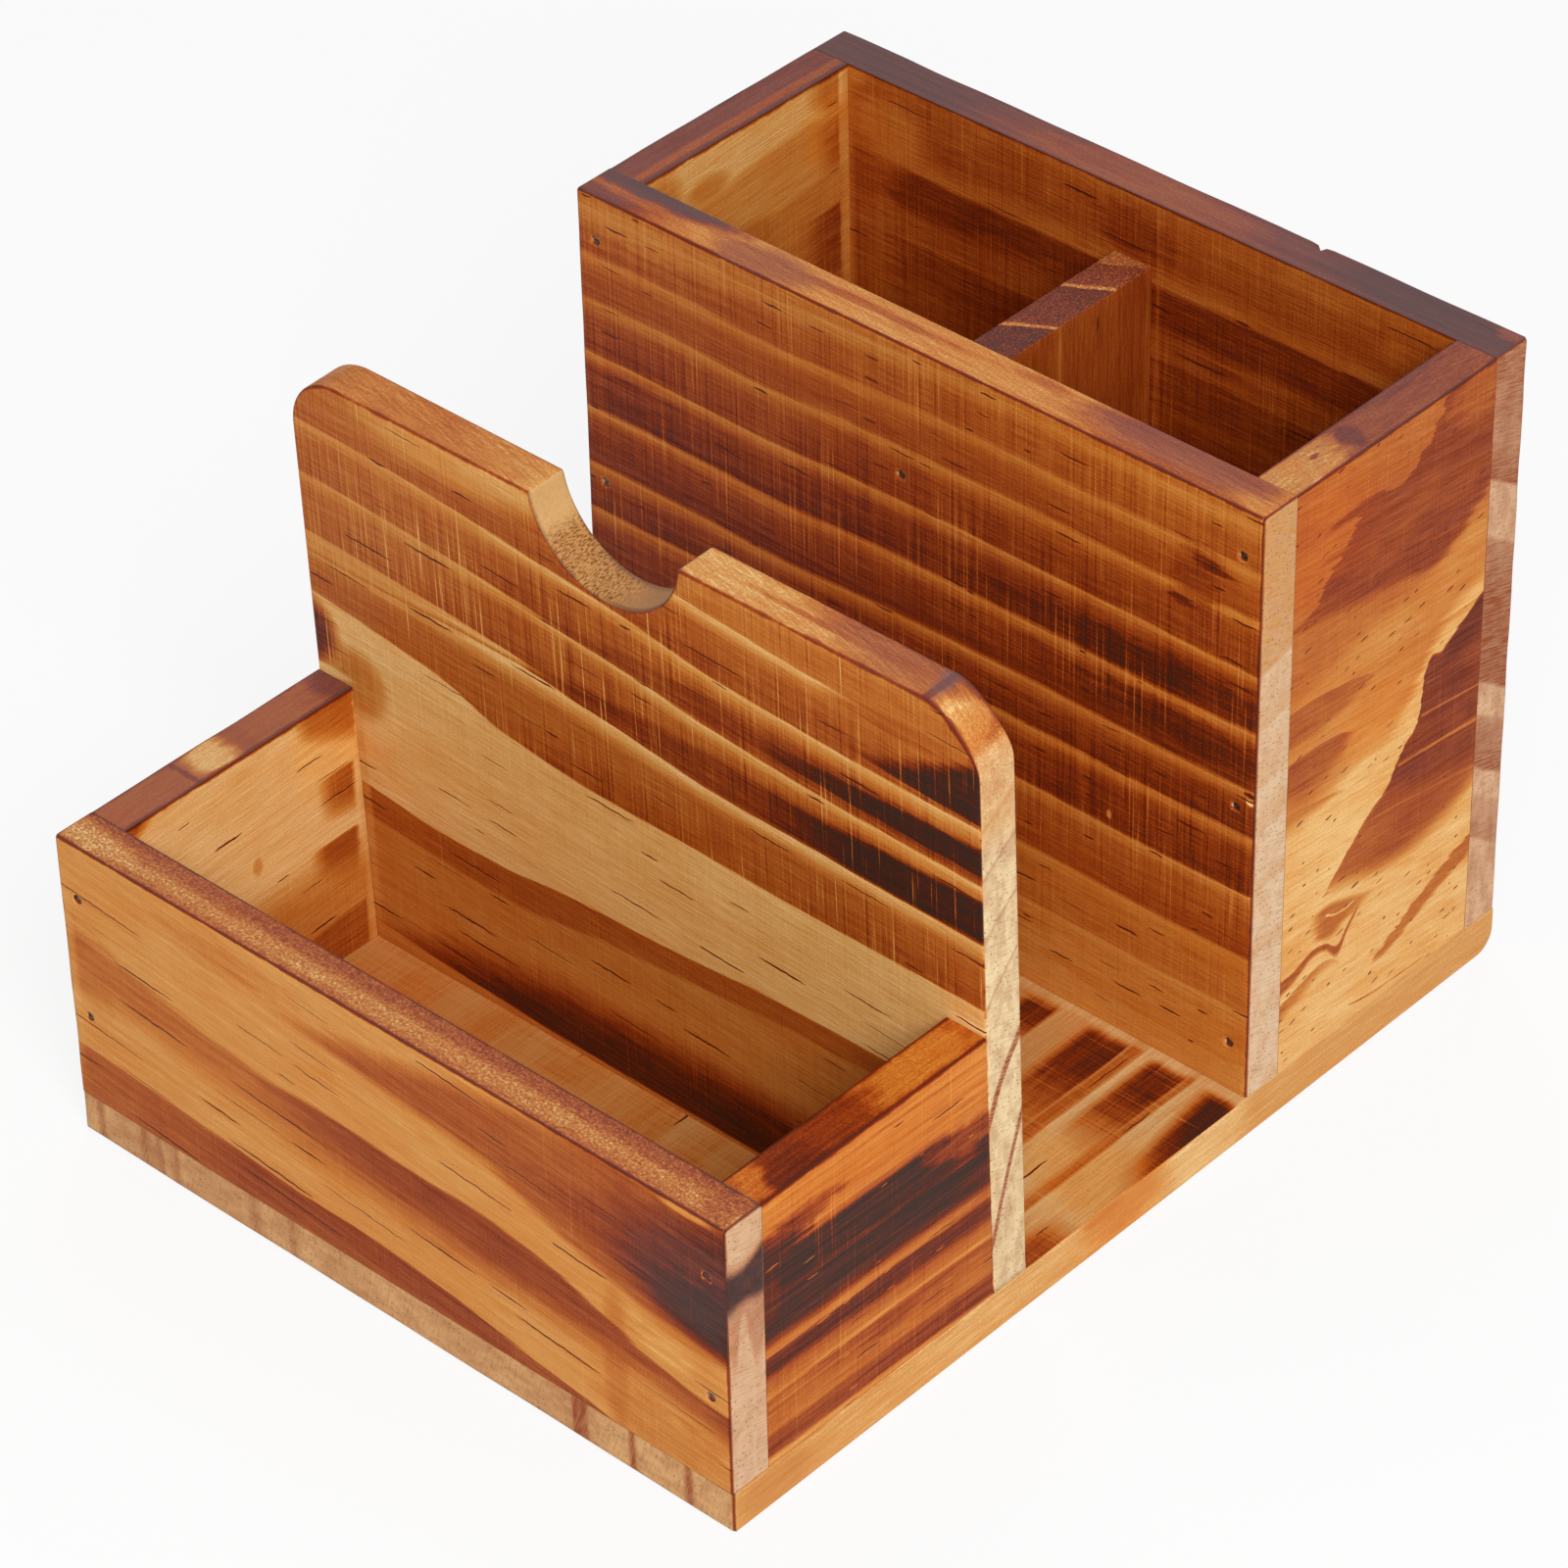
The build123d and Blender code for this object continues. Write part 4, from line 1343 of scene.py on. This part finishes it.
backrestLook = {
    # Its pale tone is set paler than the wood: painted light on the lower field inside the tray
    "lean": backrestForm["lean"], "leanOrigin": backrestForm["foot"], "pale": 0.085, "seed": 2.0,
    "wave": 0.7, "slope": 0.06, "reach": 5.0, "brush": 0.72, "brushLines": 0.42, "brushFrom": (46, 76),
    "warmth": 0.1,
    "rise": [(-10, 3.1), (42, 3.0), (62, 1.9), (84, 1.1), (97, 0.8), (111, 0.7), (150, 0.6)],
    "bend": [(-90, 0), (-60, -1.5), (-30, -4), (0, -7), (20, -10), (40, -11.5), (60, -12.5), (90, -13)],
    "rings": [(101.8, 0.52), (116.2, 0.52), (129.4, 0.5), (144.2, 0.34)],
    "bands": [
        band(
            0.42, [(-90, 98), (-40, 96), (0, 92.6), (20, 90.6), (90, 89)], darkFoot, (6.0, 0.7), fray=0.3,
        ),
        band(
            0.49, [(-90, 89), (-40, 86), (0, 85), (90, 84)], darkFoot, (12.0, 0.7), start=(-60, 40),
            fray=0.3,
        ),
        band(
            0.68, [(-30, 98), (0, 101), (40, 100.5), (90, 99.5)],
            [(-30, 96), (0, 92.6), (20, 90.6), (40, 89.6), (90, 88.6)], (3.0, 0.5), amount=0.85,
        ),
        band(
            0.62, [(-30, 112), (10, 115), (50, 114), (90, 113)],
            [(-30, 111), (0, 108.6), (20, 107), (40, 105.6), (90, 104)], (3.0, 0.5), amount=0.85,
        ),
        band(
            0.3, [(-90, 40), (-60, 38), (-40, 38), (-20, 40), (0, 41), (30, 43), (62, 44), (90, 44)], -4,
            (2.0, 1.0),
        ),
        band(
            0.46,
            [
                (-90, 43), (-80, 42), (-60, 40), (-40, 40), (-20, 42), (0, 43), (30, 45), (62, 46),
                (90, 46.5),
            ],
            [(-90, 34), (-60, 31.5), (-40, 31), (-20, 33), (0, 35.5), (30, 38.5), (62, 40), (90, 40.5)],
            (0.5, 1.2), fray=0.2,
        ),
        band(
            0.86, [(-85, 6), (-70, 11), (-40, 19), (-10, 22), (30, 23), (90, 22)],
            [(-85, 5), (-60, 2.6), (90, 2.4)], (15.0, 0.9),
        ),
        band(
            0.97, [(50, 121), (70, 125), (82, 130), (90, 135)], [(50, 119.4), (75, 117.6), (90, 117)],
            (5.0, 0.6), start=(54, 18), fray=0.8,
        ),
        band(
            0.97, [(10, 111), (45, 111.5), (90, 112.5)], [(10, 109), (45, 106.5), (90, 105)], (1.6, 0.8),
            start=(22, 40), fray=0.8,
        ),
        band(
            0.97, [(10, 97), (45, 99), (90, 100)], [(10, 92), (45, 90), (90, 89.2)], (2.2, 0.8),
            start=(26, 36), fray=0.8,
        ),
    ],
    "patches": [(30, 122.5, 40, 3, 0.56, 0.4)],
    "margins": [
        (-88, 116, 66, 36, 0.34, 0.5), (-44, 138.5, 36, 8, 0.15, 0.85), (-78, 68, 10, 11, 0.4, 0.55),
        (70, 130.2, 24, 3.0, 0.48, 0.8), (62, 136.5, 36, 4.5, 0.38, 0.6), (-92, 76, 11, 11, 0.86, 0.9),
        (-79, 34, 1.8, 40, 0.16, 0.55), (79, 34, 1.8, 40, 0.14, 0.55), (-86, 67.4, 9, 1.5, 0.06, 0.9),
        (86, 67.4, 9, 1.5, 0.06, 0.9),
    ],
    "dashes": (23.0, 5.4, 6.5, 0.27, 0.45, 0.04),
    # The wide warm patch at 60 mm is painted light too: warmer colour on the lower field where the lamps
    # leave it shaded
    "warmPatches": [(84, 136, 10, 12, 0.1, 0.8), (10, 60, 130, 26, 0.45, 0.8)],
    "edgeTone": 0.17, "edgeSmokeAndSheen": 0.14, "edgeSpeck": 0.14, "edgeScratch": 0.4,
    "edgeSmokeAndSheenPatches": [(66, 8, 24, 9, 0.3, 0.8), (76.8, 7, 2.6, 7, 0.7, 0.8)],
    "edgePatches": [
        (-66, 4, 52, 16, 0.34, 0.9), (66, 9, 32, 7, 0.56, 0.8), (70, 4, 22, 14, 0.44, 0.75),
        (50, 5, 28, 1.2, 0.48, 0.7),
    ],
    "edgeMargins": [
        (84.5, 5, 7.4, 30, 0.1, 0.9), (87, 9, 3, 4, 0.4, 0.5), (80, 9.6, 6, 2.2, 0.7, 0.75),
        (79.5, 7.5, 3.2, 4.5, 0.5, 0.5), (76.8, 5, 1.3, 20, 0.8, 0.7),
    ],
    "endPale": (231, 206, 160), "endLine": (150, 64, 22),
    "endStops": [
        (5, 0.05), (14, 0.12), (20, 0.08), (22.8, 0.05), (24.0, 1.0), (26.6, 0.9), (28.0, 0.0), (53.8, 0.0),
        (55.0, 1.0), (58.2, 0.9), (59.6, 0.0), (76, 0.0), (84.6, 0.1), (85.3, 0.6), (86.4, 0.0), (94, 0.0),
        (101.4, 0.12), (102.1, 0.6), (103.2, 0.0), (109, 0.05), (116.4, 0.15), (117.1, 0.6), (118.2, 0.1),
        (127.5, 0.25), (128.3, 0.55), (129.6, 0.3), (141, 0.4), (150, 0.5),
    ],
    "endTone": 0.3,
    "endBands": [
        band(0.45, 160, 106, (1.0, 12.0)),
        band(0.95, 160, 131, (1.0, 3.0)),
    ],
    "notch": {
        "middle": backrestForm["notchMiddle"],
        "radius": backrestForm["notchRadius"],
        "reach": (0.45, 0.15),  # the wall's look ends this far beyond the circle
        "ridge": (0.36, 9, 1.0),  # how long the ridges are round the circle, outwards and in depth
        "high": (190, 136, 80),
        "low": (120, 74, 34),
        "smooth": (168, 118, 74),
        "smoothFrom": (0.0, 4.0),
        "polished": (208, 164, 106),
        "polishedFrom": (-16, -21),
        "burnt": (104, 66, 54),
        "burntRims": (((7.6, 9.8), (-14, -5)), ((1.6, 0.2), (-6, 4))),  # back and front: depth, turned
        "rimStrength": 0.75,
    },
}


# Points on an arc, with the way out of the wood at each: outwards is 1 on a corner, -1 in a notch
def arcPoints(middle, radius, angles, outwards):
    ways = np.stack([np.cos(np.radians(angles)), np.sin(np.radians(angles))], axis=1)
    return np.array(middle) + radius * ways, outwards * ways


# The board's top outline from the left corner to the right one, as arcs joined by straight runs
def backrestOutline(form):
    corner, tall, lip = form["corner"], form["tall"], form["notchLip"]
    side = form["halfWidth"] - corner
    middle, radius = np.array(form["notchMiddle"], float), form["notchRadius"]
    lipRise = middle[1] - (tall - lip)
    lipRun = math.sqrt((radius + lip) ** 2 - lipRise**2)
    tip = math.degrees(math.asin(lipRise / (radius + lip)))
    reach = corner - form["arris"]
    extra = bradLines([max(x for x, _ in form["brads"])])
    extra = np.degrees(np.arccos((np.array(extra) - side) / reach))
    turn = np.concatenate([np.linspace(0, 90, form["cornerPoints"]), extra])
    turn = np.unique(np.round(turn, 3))
    turn = turn[np.concatenate([[True], np.diff(turn) > form["leastTurn"]])]
    sanded = np.sin(np.radians(2 * turn[::-1])) ** 2

    def straight(start, end):
        run = spacedLines([start, end], form["step"])[1:-1]
        return np.stack([run, np.full(len(run), tall)], axis=1), np.tile((0.0, 1.0), (len(run), 1))

    pieces = [
        arcPoints((-side, tall - corner), corner, 180 - turn, 1),
        straight(-side, middle[0] - lipRun),
        arcPoints((middle[0] - lipRun, tall - lip), lip, np.linspace(90, tip, form["lipPoints"]), 1),
        arcPoints(middle, radius, np.linspace(180 + tip, 360 - tip, form["notchPoints"])[1:-1], -1),
        arcPoints((middle[0] + lipRun, tall - lip), lip, np.linspace(180 - tip, 90, form["lipPoints"]), 1),
        straight(middle[0] + lipRun, side),
        arcPoints((side, tall - corner), corner - form["sanded"] * sanded[:, None], turn[::-1], 1),
    ]
    return [np.concatenate(values) for values in zip(*pieces)]


# Two faces of columns under the outline, and rings round their rim: each ring is the rim moved
# out on a quarter circle, then straight through the thickness, then in again
def makeBackrest(name, node, form, finish):
    top, outwards = backrestOutline(form)
    wide, tall, thick = form["halfWidth"], form["tall"], form["thick"]
    arris, foot, even = form["arris"], form["footArris"], form["evenRows"]
    topInside = top - outwards * arris
    topInside[0, 0], topInside[-1, 0] = -wide + arris, wide - arris
    rows = spacedLines([foot, even] + bradLines([v for _, v in form["brads"]]), form["step"])
    upper = np.linspace(0, 1, form["upperRows"])[1:]
    columns = len(top)
    low = np.repeat(rows[:, None], columns, axis=1)
    high = even + upper[:, None] * (topInside[None, :, 1] - even)
    heights = np.concatenate([low, high])
    places = np.repeat(topInside[None, :, 0], len(heights), axis=0)
    face = np.stack([places, heights], axis=-1)
    count = face.shape[0]
    number = np.arange(count * columns).reshape(count, columns)

    # The rim, anticlockwise, with the full outline's point and the rounding at each
    rim = np.concatenate([number[0], number[1:, -1], number[-1, -2::-1], number[-2:0:-1, 0]])
    flat = face.reshape(-1, 2)
    inner = flat[rim]
    outer = inner.copy()
    atFoot = np.arange(len(rim)) < columns
    outer[atFoot, 1] = 0
    right = np.zeros(len(rim), bool)
    right[columns - 1 : columns + count - 2] = True
    left = np.zeros(len(rim), bool)
    left[0] = True
    left[columns + count - 1 + columns - 1 :] = True
    onTop = slice(columns + count - 2, columns + count - 2 + columns)
    outer[onTop] = top[::-1]
    outer[right, 0], outer[left, 0] = wide, -wide
    radius = np.full(len(rim), arris)
    radius[atFoot] = foot
    rings = []
    for angle in np.radians((22.5, 45, 67.5, 90)):
        spot = outer + (inner - outer) * (1 - math.sin(angle))
        rings.append((spot, radius * (1 - math.cos(angle))))
    shares = np.linspace(0, 1, form["throughRings"])[1:-1]
    between = [(outer, radius + (thick - 2 * radius) * share) for share in shares]
    rings = rings + between + [(spot, thick - depth) for spot, depth in rings[::-1]]
    ringPoints = np.concatenate([np.column_stack([spot, depth]) for spot, depth in rings])
    front = np.column_stack([flat, np.zeros(len(flat))])
    back = np.column_stack([flat, np.full(len(flat), float(thick))])
    points = np.concatenate([front, ringPoints, back])

    # Quads of the two faces, then from ring to ring all the way round
    a, b, c, d = number[:-1, :-1], number[:-1, 1:], number[1:, 1:], number[1:, :-1]
    quads = [np.stack([side.ravel() for side in (a, b, c, d)], axis=1)]
    shift = len(flat) + len(rings) * len(rim)
    quads.append(np.stack([side.ravel() + shift for side in (d, c, b, a)], axis=1))
    loops = [len(flat) + turn * len(rim) + np.arange(len(rim)) for turn in range(len(rings))]
    for near, far in zip([rim] + loops, loops + [rim + shift]):
        quads.append(np.stack([near, far, np.roll(far, -1), np.roll(near, -1)], axis=1))
    quads = np.concatenate(quads)

    # Distance to the burnt arrises: along the outline but not at the foot
    upright = np.linspace(0, form["arrisTop"], form["sidePoints"])
    sides = [np.stack([np.full(len(upright), x), upright], axis=1) for x in (-wide, wide)]
    outline = np.concatenate(sides + [top])
    apart = np.sqrt(((points[:, None, :2] - outline[None]) ** 2).sum(axis=2)).min(axis=1)
    distance = np.hypot(apart, np.minimum(points[:, 2], thick - points[:, 2]))
    away = (points[:, 0] - wide) ** 2 + (points[:, 1] - tall) ** 2
    distance = distance * (1 - form["cornerBurn"] * np.exp(-away / form["cornerReach"] ** 2))

    punch = np.zeros(len(points))
    onBack = np.abs(points[:, 2] - thick) < tiny
    inwards = np.array((0, 0, -1.0))
    for place in form["brads"]:
        punch = np.maximum(punch, punchHole(points, onBack, np.array(place, float), [0, 1], inwards))

    # Level foot, then the lean: up the board is along the leaning face, depth square to it
    lean = math.radians(form["lean"])
    x, v, depth = points.T
    v = v - depth * math.tan(lean) * np.clip(1 - v / form["footBlend"], 0, 1)
    y = form["foot"][1] - v * math.sin(lean) + depth * math.cos(lean)
    z = form["foot"][2] + v * math.cos(lean) + depth * math.sin(lean)
    makePiece(name, np.column_stack([x, y, z]), quads, distance, punch, finish, node)


makeBackrest("backrestBoard", "backrest", backrestForm, boardFinish("backrestPine", backrestLook))

# Brads: dulled steel, blotched by noise
bradLook = {
    "bright": (132, 104, 82),
    "dull": (66, 46, 34),
    "blotch": 0.9,  # millimetres
    "metallic": 0.85,
    "bumpDepth": 0.0001,  # metres
}


def bradFinish(look):
    material, texture = newMaterial("bradSteel")
    place = [part * 1000 for part in parts(Value(texture["Object"]))]
    blotches = grainNoise(place, (look["blotch"],) * 3, 4, 0.6)
    share = rescale(blotches, 0.38, 0.62)
    return finishMaterial(
        material,
        blotches,
        {"Distance": look["bumpDepth"]},
        {
            "Base Color": mixColour(share, colour(*look["dull"]), colour(*look["bright"])),
            "Roughness": rescale(blotches, 0.3, 0.7, 0.55, 0.32),
            "Metallic": look["metallic"],
        },
    )


bradSteel = bradFinish(bradLook)
for node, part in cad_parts.items():
    if node.endswith("_brads"):
        part.data.materials.clear()
        part.data.materials.append(bradSteel)
print("brads finished")


# 1 for rays that come straight from the camera, off a shiny surface or through a clear one
def seenRays(tree):
    rays = tree.nodes.new("ShaderNodeLightPath").outputs
    onward = calc("MAXIMUM", Value(rays["Is Glossy Ray"]), Value(rays["Is Transmission Ray"]))
    return calc("MAXIMUM", Value(rays["Is Camera Ray"]), onward)


# Pale floor, clear from below
def makeFloor(values):
    mesh = bpy.data.meshes.new("floor")
    half, under = values["floorHalf"], -values["floorDrop"]
    corners = [(x * half, y * half, under) for x, y in ((-1, -1), (1, -1), (1, 1), (-1, 1))]
    mesh.from_pydata(corners, [], [(0, 1, 2, 3)])
    floor = bpy.data.objects.new("floor", mesh)
    bpy.context.scene.collection.objects.link(floor)
    paper = bpy.data.materials.new("paleFloor")
    paper.use_nodes = True
    tree = paper.node_tree
    shader = tree.nodes["Principled BSDF"]
    feed(shader.inputs["Base Color"], colour(*values["floorColour"]))
    feed(shader.inputs["Roughness"], values["floorRoughness"])
    feed(shader.inputs["Specular IOR Level"], values["floorShine"])
    glow = Value(tree.nodes.new("ShaderNodeEmission").outputs[0])
    clear = Value(tree.nodes.new("ShaderNodeBsdfTransparent").outputs[0])
    below = Value(tree.nodes.new("ShaderNodeNewGeometry").outputs["Backfacing"])
    share = seenRays(tree) * values["floorGlow"]
    lit = makeNode("MixShader", {0: share, 1: Value(shader.outputs[0]), 2: glow})
    either = makeNode("MixShader", {0: below, 1: Value(lit.outputs[0]), 2: clear})
    feed(tree.nodes["Material Output"].inputs["Surface"], Value(either.outputs[0]))
    mesh.materials.append(paper)


# Even white world, fainter on the wood than where it is seen, and two soft lamps
def makeLight(values):
    world = bpy.data.worlds.new("studioWorld")
    bpy.context.scene.world = world
    world.use_nodes = True
    sky = world.node_tree.nodes["Background"]
    feed(sky.inputs["Color"], (1, 1, 1, 1))
    feed(sky.inputs["Strength"], mixValue(seenRays(world.node_tree), values["worldStrength"], 1.0))
    for label in ("key", "top"):
        lamp = bpy.data.lights.new(label + "Lamp", "AREA")
        lamp.shape = "DISK"
        lamp.size = values[label + "Size"]
        lamp.energy = values[label + "Power"]
        holder = bpy.data.objects.new(label + "Lamp", lamp)
        bpy.context.scene.collection.objects.link(holder)
        holder.location = values[label + "Place"]
        toward = Vector(values["lampAim"]) - holder.location
        holder.rotation_euler = toward.to_track_quat("-Z", "Y").to_euler()


makeFloor(studio)
makeLight(studio)
bpy.context.scene.view_settings.view_transform = "Standard"
print("studio set")
